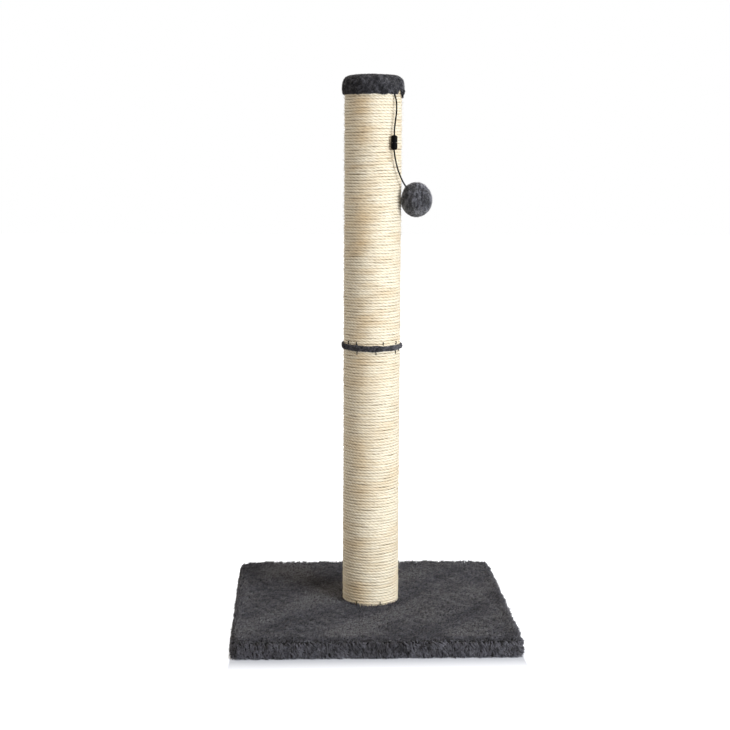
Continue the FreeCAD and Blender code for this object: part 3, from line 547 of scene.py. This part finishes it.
def wound_rope(name, node, bottom, top, start_bearing, seed):
    """Three-strand rope wound closely round a section of the post, every turn of it."""
    steps_a_turn = 120
    turns = (top - bottom - 2 * ROPE_RADIUS) / ROPE_PITCH
    count = int(turns * steps_a_turn)
    step = np.arange(count)
    turn = math.radians(start_bearing) + step * 2 * math.pi / steps_a_turn
    run = step * 2 * math.pi * WINDING_RADIUS / steps_a_turn
    height = bottom + ROPE_RADIUS + step / steps_a_turn * ROPE_PITCH
    along = run[:, None]
    # Turns wander a little up and down, together with their neighbours, and some ride higher.
    spread = np.stack([np.cos(turn) * 0.04, np.sin(turn) * 0.04, height * 1.5], -1)
    height = height + 0.5 * MM * ripple(spread, 0.09, seed) + 0.22 * MM * ripple(along, 0.06, seed + 5)
    radius = WINDING_RADIUS - 0.2 * MM + 0.26 * MM * ripple(along, 0.05, seed + 1)
    # Three strands laid right-handed, whose humps show every 6.7 mm along the rope.
    lay = 20.0 * MM
    around = 9
    column = np.arange(around)
    lobe = np.where(column % 3 == 0, 0.84, 1.03)
    twist = -run / lay * 2 * math.pi + 1.2 * ripple(along, 0.12, seed + 6)
    phase = twist[:, None] + column[None, :] * 2 * math.pi / around
    out = np.stack([np.cos(turn), np.sin(turn), np.zeros(count)], -1)
    swell = 1.0 + 0.05 * ripple(along, 0.02, seed + 2)
    # Wound under tension, a turn presses flat against its neighbours and the tube.
    radial = ROPE_RADIUS * 0.98 * swell[:, None] * lobe[None, :] * np.cos(phase)
    upward = ROPE_RADIUS * 1.2 * swell[:, None] * lobe[None, :] * np.sin(phase)
    points = (radius[:, None] + radial)[:, :, None] * out[:, None, :]
    points[:, :, 2] += height[:, None] + upward
    quads = rings_to_faces(count, around)
    left = np.repeat(run[:-1], around)
    right_run = np.repeat(run[1:], around)
    low = np.tile(column, count - 1) / around
    high = low + 1 / around
    runs = np.stack([left, low, left, high, right_run, high, right_run, low], -1).reshape(-1, 2)
    # Painted shade: the grooves between turns are darkened in colour, as broken dark lines, deeper in some
    # places than in others.
    painted_gap_shade = 0.42 + 0.30 * ripple(np.stack([run, height * 60], -1), 0.05, seed + 8)
    painted_gap_shade = painted_gap_shade + 0.16 * ripple(along, 0.008, seed + 9)
    # The painted shade is darkest 55 degrees round to the left of the front, on the side away from the key
    # lamp.
    painted_gap_shade = painted_gap_shade * (0.72 + 0.75 * near(np.degrees(turn), -145, 40))
    shade = np.clip(1.04 - np.abs(np.sin(phase)) ** 6 * np.maximum(painted_gap_shade, 0.05)[:, None], 0, 1)
    # The cut ends are closed, at a point in their middle.
    middles = radius[[0, -1], None] * out[[0, -1]]
    middles[:, 2] += height[[0, -1]]
    after = (column + 1) % around
    last = (count - 1) * around
    start_cap = np.stack([after, column, np.full(around, count * around)], -1)
    end_cap = np.stack([last + column, last + after, np.full(around, count * around + 1)], -1)
    spots = np.concatenate([points.reshape(-1, 3), middles])
    shade = np.concatenate([shade.ravel(), (0.8, 0.8)])
    run_of_spot = np.concatenate([np.repeat(run, around), run[[0, -1]]])
    runs = np.concatenate([runs, np.zeros((6 * around, 2))])
    patches = ripple(spots * np.array((1, 1, 1.6)), 0.07, seed + 3)
    patches = patches + 0.8 * ripple(run_of_spot[:, None], 0.09, seed + 4)
    bearing = np.degrees(np.arctan2(spots[:, 1], spots[:, 0]))
    # Painted shade: a darker, warmer honey band 26 degrees round to the left of the front.
    painted_shade_band = 0.30 * near(bearing, -116, 20) * np.clip(0.6 + ripple(spots[:, 2:], 0.11, seed + 7), 0, 1)
    tone = np.clip(0.07 + painted_shade_band + 0.13 * patches, 0, 0.75)
    piece = mesh_piece(
        name,
        spots,
        [quads, start_cap, end_cap],
        SISAL,
        body="post",
        marks={"painted_groove_shade": shade, "tone": tone},
        runs=runs,
    )
    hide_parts(node)


wound_rope("lower_winding", "lower_rope", FOOT, JOINT, -121.2, 11)
wound_rope("upper_winding", "upper_rope", JOINT, WINDING_TOP, -110.0, 12)

# ---------------------------------------------------------------- plush


def scatter(mesh, count, rng):
    """Points spread evenly over a mesh, with its normals there."""
    mesh.calc_loop_triangles()
    triangles = np.zeros(len(mesh.loop_triangles) * 3, np.int32)
    mesh.loop_triangles.foreach_get("vertices", triangles)
    triangles = triangles.reshape(-1, 3)
    places = np.zeros(len(mesh.vertices) * 3)
    mesh.vertices.foreach_get("co", places)
    places = places.reshape(-1, 3)
    normals = np.zeros(len(mesh.vertices) * 3)
    mesh.vertices.foreach_get("normal", normals)
    normals = normals.reshape(-1, 3)
    one, two, three = (places[triangles[:, i]] for i in range(3))
    areas = np.linalg.norm(np.cross(two - one, three - one), axis=1)
    total = np.cumsum(areas) / areas.sum()
    picked = np.searchsorted(total, (np.arange(count) + rng.random(count)) / count)
    picked = np.minimum(picked, len(triangles) - 1)
    second, third = rng.random(count), rng.random(count)
    flip = second + third > 1
    second[flip], third[flip] = 1 - second[flip], 1 - third[flip]
    first = 1 - second - third
    chosen = triangles[picked]

    def between(values):
        """The values at the three corners, mixed for each point."""
        one, two, three = (values[chosen[:, i]] for i in range(3))
        return first[:, None] * one + second[:, None] * two + third[:, None] * three

    return between(places), unit(between(normals))


def tufts(roots, facing, lean, length, width, curl, rng):
    """Bent, tapering tufts of pile, three-sided, as points, faces and height up the pile."""
    count = len(roots)
    stray = rng.normal(size=(count, 3)) * curl
    low = unit(facing + 0.5 * lean + 0.5 * stray)
    high = unit(0.6 * facing + 1.2 * lean + stray)
    reach = (length * rng.uniform(0.75, 1.15, count))[:, None]
    start = roots - facing * 0.5 * MM
    middle = start + low * reach * 0.5
    tip = middle + high * reach * 0.5
    side = unit(np.cross(low, rng.normal(size=(count, 3))))
    other = np.cross(low, side)
    half = (width / 2 * rng.uniform(0.75, 1.25, count))[:, None]
    corners = []
    for centre, share in ((start, 1.0), (middle, 0.85)):
        for third in range(3):
            angle = third * 2 * math.pi / 3
            corners.append(centre + half * share * (math.cos(angle) * side + math.sin(angle) * other))
    corners.append(tip)
    points = np.stack(corners, 1).reshape(-1, 3)
    # The pile rests on the floor and doesn't pass through it.
    points[:, 2] = np.maximum(points[:, 2], 0.15 * MM)
    first = np.arange(count)[:, None] * 7
    quads = (first[:, :, None] + np.array(((0, 1, 4, 3), (1, 2, 5, 4), (2, 0, 3, 5)))[None]).reshape(-1, 4)
    threes = (first[:, :, None] + np.array(((3, 4, 6), (4, 5, 6), (5, 3, 6), (2, 1, 0)))[None]).reshape(-1, 3)
    rise = np.tile((0.0, 0.0, 0.0, 0.55, 0.55, 0.55, 1.0), count)
    return points, [quads, threes], rise


def pile(name, roots, facing, lean, length, width, curl, tone, material, body, rng, spread=0.10):
    """A piece of pile. tone is how pale each tuft's tip is, and spread how far tufts differ in that."""
    points, faces, rise = tufts(roots, facing, lean, length, width, curl, rng)
    tone = np.clip(tone + rng.normal(0, spread, len(roots)), 0, 1)
    marks = {"rise": rise, "tone": np.repeat(tone, 7) * rise, "painted_groove_shade": np.ones(len(points))}
    return mesh_piece(name, points, faces, material, body=body, marks=marks)


def backing(name, rings, material, body, closed=True):
    """The plush's knitted backing, from rings of points."""
    around = len(rings[0])
    points = np.concatenate(rings)
    marks = {"rise": np.full(len(points), 0.15), "tone": np.zeros(len(points))}
    faces = rings_to_faces(len(rings), around, closed)
    return mesh_piece(name, points, [faces], material, body=body, marks=marks)


def square_reach(bearings, half, corner):
    """How far a rounded square reaches from its centre at each bearing."""
    across, ahead = np.abs(np.cos(bearings)), np.abs(np.sin(bearings))
    big, small = np.maximum(across, ahead), np.minimum(across, ahead)
    side = half / big
    inner = half - corner
    onto_corner = side * small > inner
    centre = inner * (across + ahead)
    arc = centre + np.sqrt(np.maximum(centre**2 - (2 * inner**2 - corner**2), 0))
    return np.where(onto_corner, arc, side)


# The base's rings have finer steps near the corners, in degrees.
coarse = np.arange(0, 42, 1.5)
fine = np.arange(42, 48.01, 0.5)
quarter = np.radians(np.concatenate([coarse, fine, 90 - coarse[:0:-1]]))
base_bearings = np.concatenate([quarter + k * math.pi / 2 for k in range(4)])

# How far the fabric's folds bulge at each corner's bearing, in millimetres.
CORNER_FOLDS = ((45, 1.2), (135, 1.5), (225, 1.0), (315, 3.2))


def base_ring(half, corner, height):
    """A ring of the base's backing. The fabric is folded, and so thicker, at the corners."""
    reach = square_reach(base_bearings, half * MM, corner * MM)
    low_down = math.exp(-(((height - 9.0) / 7.0) ** 2))
    for bearing, bulk in CORNER_FOLDS:
        reach = reach + bulk * MM * low_down * near(np.degrees(base_bearings), bearing, 2.6)
    return np.stack(
        [
            reach * np.cos(base_bearings),
            reach * np.sin(base_bearings),
            np.full(len(reach), height * MM),
        ],
        -1,
    )


# Each row is half the base's width, its corners' radius and its height, in millimetres.
BASE_PROFILE = (
    (162.0, 2.0, 0.9),
    (175.0, 3.0, 0.9),
    (192.0, 5.0, 0.9),
    (197.0, 7.0, 1.2),
    (199.2, 8.0, 3.0),
    (199.7, 8.5, 8.0),
    (199.7, 8.5, 15.0),
    (199.6, 8.5, 20.0),
    (199.2, 8.0, 22.0),
    (198.0, 7.5, 22.9),
    (195.5, 7.0, 23.3),
    (190.0, 6.0, 23.4),
)
BASE_TOP, FOOT_OPENING = 23.4 * MM, 43.4 * MM
rings = [base_ring(*row) for row in BASE_PROFILE]
edge = rings[-1]
bearing_circle = np.stack([np.cos(base_bearings), np.sin(base_bearings), 0 * base_bearings], -1)
for share in np.linspace(0, 1, 14)[1:]:
    ring = edge * (1 - share) + bearing_circle * FOOT_OPENING * share
    ring[:, 2] = BASE_TOP
    rings.append(ring)
# It goes on under the post's foot, pressed flat, to the bolt's hole.
for distance, height in ((42.6, 23.0), (41.8, 22.8), (20.0, 22.8), (5.0, 22.8)):
    rings.append(bearing_circle * distance * MM + np.array((0, 0, height * MM)))
base_backing = backing("base_plush_backing", rings, BASE_PLUSH, "post")
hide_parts("base_cover")

rng = np.random.default_rng(21)
roots, facing = scatter(base_backing.data, BASE_TUFTS, rng)
under = (facing[:, 2] < -0.5) | (roots[:, 2] < 1.6 * MM)
top = facing[:, 2] > 0.75
sides = ~under & ~top
swirl = ripple(roots[:, :2], 0.11, 31)
eddy = ripple(roots[:, :2], 0.035, 32)
streaked = roots[:, :2] * np.array((0.28, 1.0))
mottle = 0.24 + 0.08 * ripple(roots[:, :2], 0.05, 33) + 0.34 * ripple(streaked, 0.0055, 34)
comb = np.stack([0.85 + 0.25 * eddy, 0.55 * swirl + 0.25 * eddy, -0.15 * np.ones(len(roots))], -1)
from_post = np.hypot(roots[:, 0], roots[:, 1])
near_post = from_post < FOOT_OPENING - 0.5 * MM
# Round the foot the post pushes the pile outwards and up.
pushed = np.clip((50 * MM - from_post) / (6 * MM), 0, 1)[:, None]
outward = np.stack([roots[:, 0], roots[:, 1], 0 * from_post], -1) / np.maximum(from_post, MM)[:, None]
comb = comb * (1 - pushed) + (0.5 * outward + np.array((0, 0, 0.2))) * pushed
# At the back and the sides the outer 12 mm of the pile stands up over the edge.
RIM_STARTS, FRONT_STARTS = 188 * MM, 186 * MM
rim = np.clip((np.maximum(roots[:, 1], np.abs(roots[:, 0])) - RIM_STARTS) / (10 * MM), 0, 1)
comb *= (1 - 0.75 * rim)[:, None]
# At the corners it stands up too, but isn't longer.
rim *= np.clip((375 * MM - np.abs(roots[:, 0]) - np.abs(roots[:, 1])) / (12 * MM), 0, 1)
# At the front it is brushed down over the edge.
over_front = np.clip((-roots[:, 1] - FRONT_STARTS) / (10 * MM), 0, 1)[:, None]
comb = comb * (1 - over_front) + np.array((0.5, -0.75, 0.0)) * over_front
for across, left_of in (("left", True), ("right", False)):
    for depth, before in (("front", True), ("back", False)):
        chosen = top & ((roots[:, 0] < 0) == left_of) & ((roots[:, 1] < 0) == before) & ~near_post
        pile(
            f"base_plush_{depth}_{across}",
            roots[chosen],
            facing[chosen],
            comb[chosen],
            (7.2 + 0.9 * eddy[chosen] + 2.2 * rim[chosen]) * MM,
            1.9 * MM,
            0.33,
            mottle[chosen] + 0.16 * over_front[chosen, 0],
            BASE_PLUSH,
            "post",
            rng,
        )
slant = ripple(roots, 0.05, 37)
locks = np.stack([ripple(roots, 0.014, seed) for seed in (39, 40, 35)], -1)
droop = np.stack([0.3 + 0.5 * slant, 0.3 * slant, -0.95 + 0.2 * eddy], -1) + 0.5 * locks
# Low down the pile meets the floor and spreads outwards over it.
low_share = np.clip((15 * MM - roots[:, 2]) / (9 * MM), 0, 1)
high_share = np.clip((roots[:, 2] - 17 * MM) / (5 * MM), 0, 1)
droop += facing * (0.55 * low_share)[:, None]
strands = 0.62 * ripple(roots * np.array((1, 1, 0.35)), 0.0065, 38)
side_tone = 0.58 + strands + 0.22 * locks[:, 1] + 0.50 * low_share + 0.25 * high_share
for part, chosen in (
    ("front_and_left", sides & (roots[:, 0] + roots[:, 1] < 0)),
    ("back_and_right", sides & (roots[:, 0] + roots[:, 1] >= 0)),
):
    pile(
        "base_plush_side_" + part,
        roots[chosen],
        facing[chosen],
        droop[chosen],
        (8.4 + 1.4 * locks[chosen, 0]) * MM,
        2.3 * MM,
        0.3,
        side_tone[chosen],
        BASE_PLUSH,
        "post",
        rng,
        spread=0.3,
    )
pressed = under & (rng.random(len(roots)) < 0.3)
pile(
    "base_plush_hem",
    roots[pressed] + np.array((0, 0, 0.2 * MM)),
    facing[pressed],
    np.stack([1.5 * np.sign(roots[pressed, 0]), 1.2 * eddy[pressed], np.full(pressed.sum(), 0.8)], -1),
    3.0 * MM,
    1.3 * MM,
    0.2,
    mottle[pressed] - 0.1,
    BASE_PLUSH,
    "post",
    rng,
)

# Ends of sisal fibre stand out from the rope all over.
for section, bottom, top, seed in (("lower", FOOT + 4 * MM, JOINT, 71), ("upper", JOINT, HEM, 72)):
    rng = np.random.default_rng(seed)
    turn = rng.uniform(0, 2 * math.pi, ROPE_FIBRES)
    outward = np.stack([np.cos(turn), np.sin(turn), 0 * turn], -1)
    onward = np.stack([-np.sin(turn), np.cos(turn), 0 * turn], -1) * rng.choice((-1, 1), len(turn))[:, None]
    roots = outward * (ROPE_SURFACE - 0.3 * MM)
    roots[:, 2] = rng.uniform(bottom, top, len(turn))
    # Beside the ball they start 3 mm deeper, so that they don't reach its pile.
    by_ball = (np.abs(np.degrees(turn) - 345) < 22) & (roots[:, 2] > 580 * MM) & (roots[:, 2] < 665 * MM)
    roots = roots - outward * (3.0 * MM * by_ball)[:, None]
    pile(
        f"{section}_rope_fibres",
        roots,
        outward,
        1.3 * onward + rng.normal(size=roots.shape) * 0.3,
        rng.uniform(2.0, 6.0, len(turn)) * MM,
        0.3 * MM,
        0.35,
        np.full(len(turn), 0.1),
        SISAL,
        "post",
        rng,
    )

# The cap: a plush disc and skirt over the top of the post.
CAP_TURN = np.arange(0.0, 360.0, 1.0)
cap_bearings = np.radians(CAP_TURN)
NOTCH_BEARING, NOTCH_DEPTH = 332.0, 9.5 * MM
WISP_BEARING = 342.0
# How many degrees the notch's left and right slopes take.
LEFT_SLOPE, RIGHT_SLOPE = 10.0, 4.0
# The swell over the cord, and the height where the skirt turns into the top.
CORD_SWELL, CAP_SHOULDER = 2.3 * MM, 797 * MM
HEM_WAVE = 0.7 * MM * ripple(np.stack([np.cos(cap_bearings), np.sin(cap_bearings)], -1) * 0.044, 0.012, 46)


def in_notch(bearings, spare=0.0):
    """1 at the notch's peak and 0 outside it: it slopes gently on its left and steeply on its right."""
    apart = (bearings - NOTCH_BEARING + 180) % 360 - 180
    slope = np.where(apart < 0, -apart / (LEFT_SLOPE + spare), apart / (RIGHT_SLOPE + spare))
    return np.clip(1 - slope, 0, 1)


def cap_ring(distance, height):
    """A ring of the cap's backing, with the notch in its hem and the swell over the cord."""
    low_down = np.clip((793.0 - height) / 14.0, 0, 1)
    lift = NOTCH_DEPTH * in_notch(CAP_TURN) * low_down**2 + HEM_WAVE * low_down
    out = distance * MM + CORD_SWELL * near(CAP_TURN, CORD_BEARING + 360, 5.0) * np.clip(low_down * 3, 0, 1)
    return np.stack([np.cos(cap_bearings) * out, np.sin(cap_bearings) * out, height * MM + lift], -1)


# Each row is a distance from the post's axis and a height, in millimetres.
CAP_PROFILE = (
    (42.6, 796.0),
    (42.6, 786.0),
    (42.6, 780.4),
    (43.1, 779.6),
    (43.3, 780.4),
    (43.4, 784.0),
    (43.4, 789.0),
    (43.0, 794.0),
    (41.6, 799.0),
    (38.8, 802.2),
    (34.5, 804.2),
    (28.0, 805.3),
    (16.0, 805.7),
    (6.0, 805.8),
    (0.3, 805.8),
)
cap_rings = [cap_ring(*row) for row in CAP_PROFILE]
cap_backing = backing("cap_plush_backing", cap_rings, CAP_PLUSH, "post")
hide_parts("cap_cover")
rng = np.random.default_rng(22)
roots, facing = scatter(cap_backing.data, CAP_TUFTS, rng)
outward = unit(roots * np.array((1, 1, 0)))
outside = ((facing * outward).sum(axis=1) > 0.2) | (roots[:, 2] > 798 * MM)
roots, facing = roots[outside], facing[outside]
curls = np.stack([ripple(roots, 0.011, 41 + i) + 0.7 * ripple(roots, 0.005, 141 + i) for i in range(3)], -1)
by_hem = np.clip((784 * MM - roots[:, 2]) / (5 * MM), 0, 1)
by_notch = in_notch(np.degrees(np.arctan2(roots[:, 1], roots[:, 0])), 3.0) * (roots[:, 2] < 792 * MM)
cap_lean = 0.85 * curls + np.stack([0 * by_hem, 0 * by_hem, -0.2 - 0.5 * by_hem], -1)
cap_tone = 0.26 + 0.34 * ripple(roots, 0.006, 45) + 0.24 * ripple(roots, 0.014, 48)
for part, chosen in (("skirt", roots[:, 2] < CAP_SHOULDER), ("top", roots[:, 2] >= CAP_SHOULDER)):
    pile(
        f"cap_plush_{part}",
        roots[chosen],
        facing[chosen],
        cap_lean[chosen],
        (3.1 - 0.9 * by_hem[chosen] - 1.6 * by_notch[chosen]) * MM,
        1.15 * MM,
        0.4,
        cap_tone[chosen],
        CAP_PLUSH,
        "post",
        rng,
        spread=0.16,
    )
# A wisp of the skirt's end hangs beside the notch.
wisp_top = on_post(WISP_BEARING, 44.6 * MM, 784 * MM)
wisp_tip = on_post(WISP_BEARING - 2.5, 43.6 * MM, 775.6 * MM)
share = rng.random(WISP_TUFTS) ** 1.4
roots = wisp_top * (1 - share[:, None]) + wisp_tip * share[:, None]
roots += rng.normal(size=roots.shape) * (0.85 * MM) * (1 - 0.8 * share[:, None])
pile(
    "cap_plush_wisp",
    roots,
    unit(roots * np.array((1, 1, 0))),
    np.tile((0.0, 0.0, -1.6), (len(roots), 1)),
    3.2 * MM,
    1.5 * MM,
    0.25,
    0.3 + 0.3 * ripple(roots, 0.009, 47),
    CAP_PLUSH,
    "post",
    rng,
)

# The band over the joint.
band_bearings = np.radians(np.linspace(91.0, 449.0, 150))
BAND_MIDDLE = 413.1
# Each pair is a distance from the post's axis and a height from the band's middle, in millimetres.
BAND_PROFILE = ((42.5, -3.2), (43.3, -3.6), (43.9, -2.2), (44.2, 0.0), (43.9, 2.2), (43.3, 3.6), (42.5, 3.2))
# It isn't quite level or even, and it is narrower on the right.
band_places = np.stack([np.cos(band_bearings), np.sin(band_bearings)], -1) * 0.043
band_rise = 0.3 * MM * ripple(band_places, 0.09, 55)
band_swell = 1 + 0.10 * ripple(band_places, 0.03, 56) - 0.35 * near(np.degrees(band_bearings), 345, 50)
band_rings = []
for distance, above in BAND_PROFILE:
    height = BAND_MIDDLE * MM + above * MM * band_swell + band_rise
    band_rings.append(
        np.stack(
            [np.cos(band_bearings) * distance * MM, np.sin(band_bearings) * distance * MM, height],
            -1,
        )
    )
band_backing = backing("joint_band_backing", band_rings, BASE_PLUSH, "post", closed=False)
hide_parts("joint_band")
rng = np.random.default_rng(23)
roots, facing = scatter(band_backing.data, BAND_TUFTS, rng)
band_droop = -0.3 + 0.5 * ripple(roots, 0.012, 53)
band_lean = 0.7 * np.stack([ripple(roots, 0.02, 51), ripple(roots, 0.02, 52), band_droop], -1)
pile(
    "joint_band_pile",
    roots,
    facing,
    band_lean,
    2.3 * MM,
    1.2 * MM,
    0.35,
    0.55 + 0.45 * ripple(roots, 0.006, 54),
    BASE_PLUSH,
    "post",
    rng,
    spread=0.2,
)

# The ball: plush over filling, a little taller than wide.
BALL_STEPS, BACKING_DEPTH = 40, 2.1 * MM
turn = np.radians(np.arange(0, 360, 6.0))
ball_rings = []
for k in range(1, BALL_STEPS):
    polar = math.pi * k / BALL_STEPS
    wide, high = math.sin(polar), np.full(len(turn), -math.cos(polar))
    sphere_ring = np.stack([wide * np.cos(turn), wide * np.sin(turn), high], -1)
    ball_rings.append(BALL_CENTRE + (BALL_HALF - BACKING_DEPTH) * sphere_ring)
ball_backing = backing("ball_plush_backing", ball_rings, BALL_PLUSH, "toy_ball")
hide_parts("ball_cover", "ball_filling")
rng = np.random.default_rng(24)
roots, facing = scatter(ball_backing.data, BALL_TUFTS, rng)
brush = np.stack([ripple(roots, 0.03, 61), ripple(roots, 0.03, 62), -0.6 + 0.4 * ripple(roots, 0.03, 63)], -1)
mouth = np.exp(-(((np.linalg.norm(roots - BALL_PIVOT, axis=1) - 2.0 * MM) / (3.0 * MM)) ** 2))[:, None]
to_mouth = unit(BALL_PIVOT - BALL_CENTRE)
# Its pile lies in short strokes that run up to the left.
strokes = ripple(roots @ np.array(((1, 0, 0.5), (0, 1, 0), (-0.5, 0, 0.35))), 0.0048, 64)
# Painted light: its pile is paler on its upper side, away from the post.
painted_light_side = np.clip((facing @ np.array((0.82, 0.30, 0.48)) - 0.45) / 0.45, 0, 1)
ball_tone = 0.20 + 0.66 * strokes + 0.2 * ripple(roots, 0.012, 65) + 0.55 * painted_light_side
pile(
    "ball_plush_pile",
    roots,
    unit(facing * (1 - mouth) + to_mouth * mouth),
    0.6 * brush * (1 - mouth),
    (3.5 + 1.6 * mouth[:, 0]) * MM,
    1.2 * MM,
    0.3,
    ball_tone,
    BALL_PLUSH,
    "toy_ball",
    rng,
    spread=0.3,
)

# ---------------------------------------------------------------- finishes of the CAD parts

slot_of = {part["node"]: part["material_slot"] for part in frame["record"]["subparts"]}
for name, node in nodes.items():
    material = BY_NODE.get(name) or BY_SLOT.get(slot_of[name])
    if material:
        node.data.materials.clear()
        node.data.materials.append(material)

# ---------------------------------------------------------------- floor, light and background

floor_mesh = bpy.data.meshes.new("floor")
floor_mesh.from_pydata([(-8, -6, 0), (8, -6, 0), (8, 10, 0), (-8, 10, 0)], [], [(0, 1, 2, 3)])
floor = bpy.data.objects.new("floor", floor_mesh)
bpy.context.scene.collection.objects.link(floor)
floor_paint = bpy.data.materials.new("matt_white_floor")
floor_paint.use_nodes = True
floor_paint.node_tree.nodes.clear()
white = add(floor_paint, "BsdfDiffuse", {"Color": colour("#CDD1D8"), "Roughness": 0.5})
# The floor turns to the backdrop's white over 78 mm in front of the base and over 5.5 mm elsewhere.
FRONT_FADE, EDGE_FADE = (-0.212, -0.290), (0.2035, 0.209)
spot = add(floor_paint, "TexCoord")
split = add(floor_paint, "SeparateXYZ", {0: spot.outputs["Object"]})
aside = add(floor_paint, "Math", {0: split.outputs[0]}, operation="ABSOLUTE")
elsewhere = add(floor_paint, "Math", {0: aside.outputs[0], 1: split.outputs[1]}, operation="MAXIMUM")
before = add(
    floor_paint,
    "MapRange",
    {"Value": split.outputs[1], "From Min": FRONT_FADE[0], "From Max": FRONT_FADE[1]},
)
beside = add(
    floor_paint,
    "MapRange",
    {"Value": elsewhere.outputs[0], "From Min": EDGE_FADE[0], "From Max": EDGE_FADE[1]},
)
whiter = add(floor_paint, "Math", {0: before.outputs[0], 1: beside.outputs[0]}, operation="MAXIMUM")
glow = add(floor_paint, "Emission", {"Color": colour("#FFFFFF"), "Strength": whiter.outputs[0]})
both = add(floor_paint, "AddShader", {0: white.outputs[0], 1: glow.outputs[0]})
ray = add(floor_paint, "LightPath")
seen = add(
    floor_paint,
    "MixShader",
    {0: ray.outputs["Is Camera Ray"], 1: white.outputs[0], 2: both.outputs[0]},
)
add(floor_paint, "OutputMaterial", {"Surface": seen.outputs[0]})
floor_mesh.materials.append(floor_paint)
floor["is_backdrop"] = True

world = bpy.data.worlds.new("studio")
bpy.context.scene.world = world
world.use_nodes = True
world.node_tree.nodes.clear()
FILL_LIGHT = 0.40
ray = add(world, "LightPath")
seen_or_mirrored = add(
    world,
    "Math",
    {0: ray.outputs["Is Camera Ray"], 1: ray.outputs["Is Glossy Ray"]},
    operation="MAXIMUM",
)
shown = add(
    world,
    "Math",
    {0: seen_or_mirrored.outputs[0], 1: ray.outputs["Is Transmission Ray"]},
    operation="MAXIMUM",
)
fill = add(world, "Background", {"Color": colour("#FFEEDA"), "Strength": FILL_LIGHT})
backdrop = add(world, "Background", {"Color": colour("#FFFFFF"), "Strength": 1.0})
sky = add(world, "MixShader", {0: shown.outputs[0], 1: fill.outputs[0], 2: backdrop.outputs[0]})
add(world, "OutputWorld", {"Surface": sky.outputs[0]})


def soft_lamp(name, place, aim, size, power, tint="#FFFFFF"):
    """A round, soft lamp at a place, turned towards its aim."""
    lamp = bpy.data.lights.new(name, "AREA")
    lamp.shape = "DISK"
    lamp.size = size
    lamp.energy = power
    lamp.color = colour(tint)[:3]
    holder = bpy.data.objects.new(name, lamp)
    holder.location = place
    holder.rotation_euler = (Vector(aim) - Vector(place)).to_track_quat("-Z", "Y").to_euler()
    bpy.context.scene.collection.objects.link(holder)


soft_lamp("key_lamp", (1.95, -2.1, 1.0), (0, 0, 0.4), 1.9, 82, "#F4F8FF")
soft_lamp("rim_lamp", (-1.7, 1.5, 1.1), (0, 0, 0.45), 0.8, 7, "#FFFFFF")
soft_lamp("top_lamp", (0.3, -0.5, 3.0), (0, 0, 0.0), 1.6, 29)
bpy.context.scene.view_settings.view_transform = "Standard"

low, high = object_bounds()
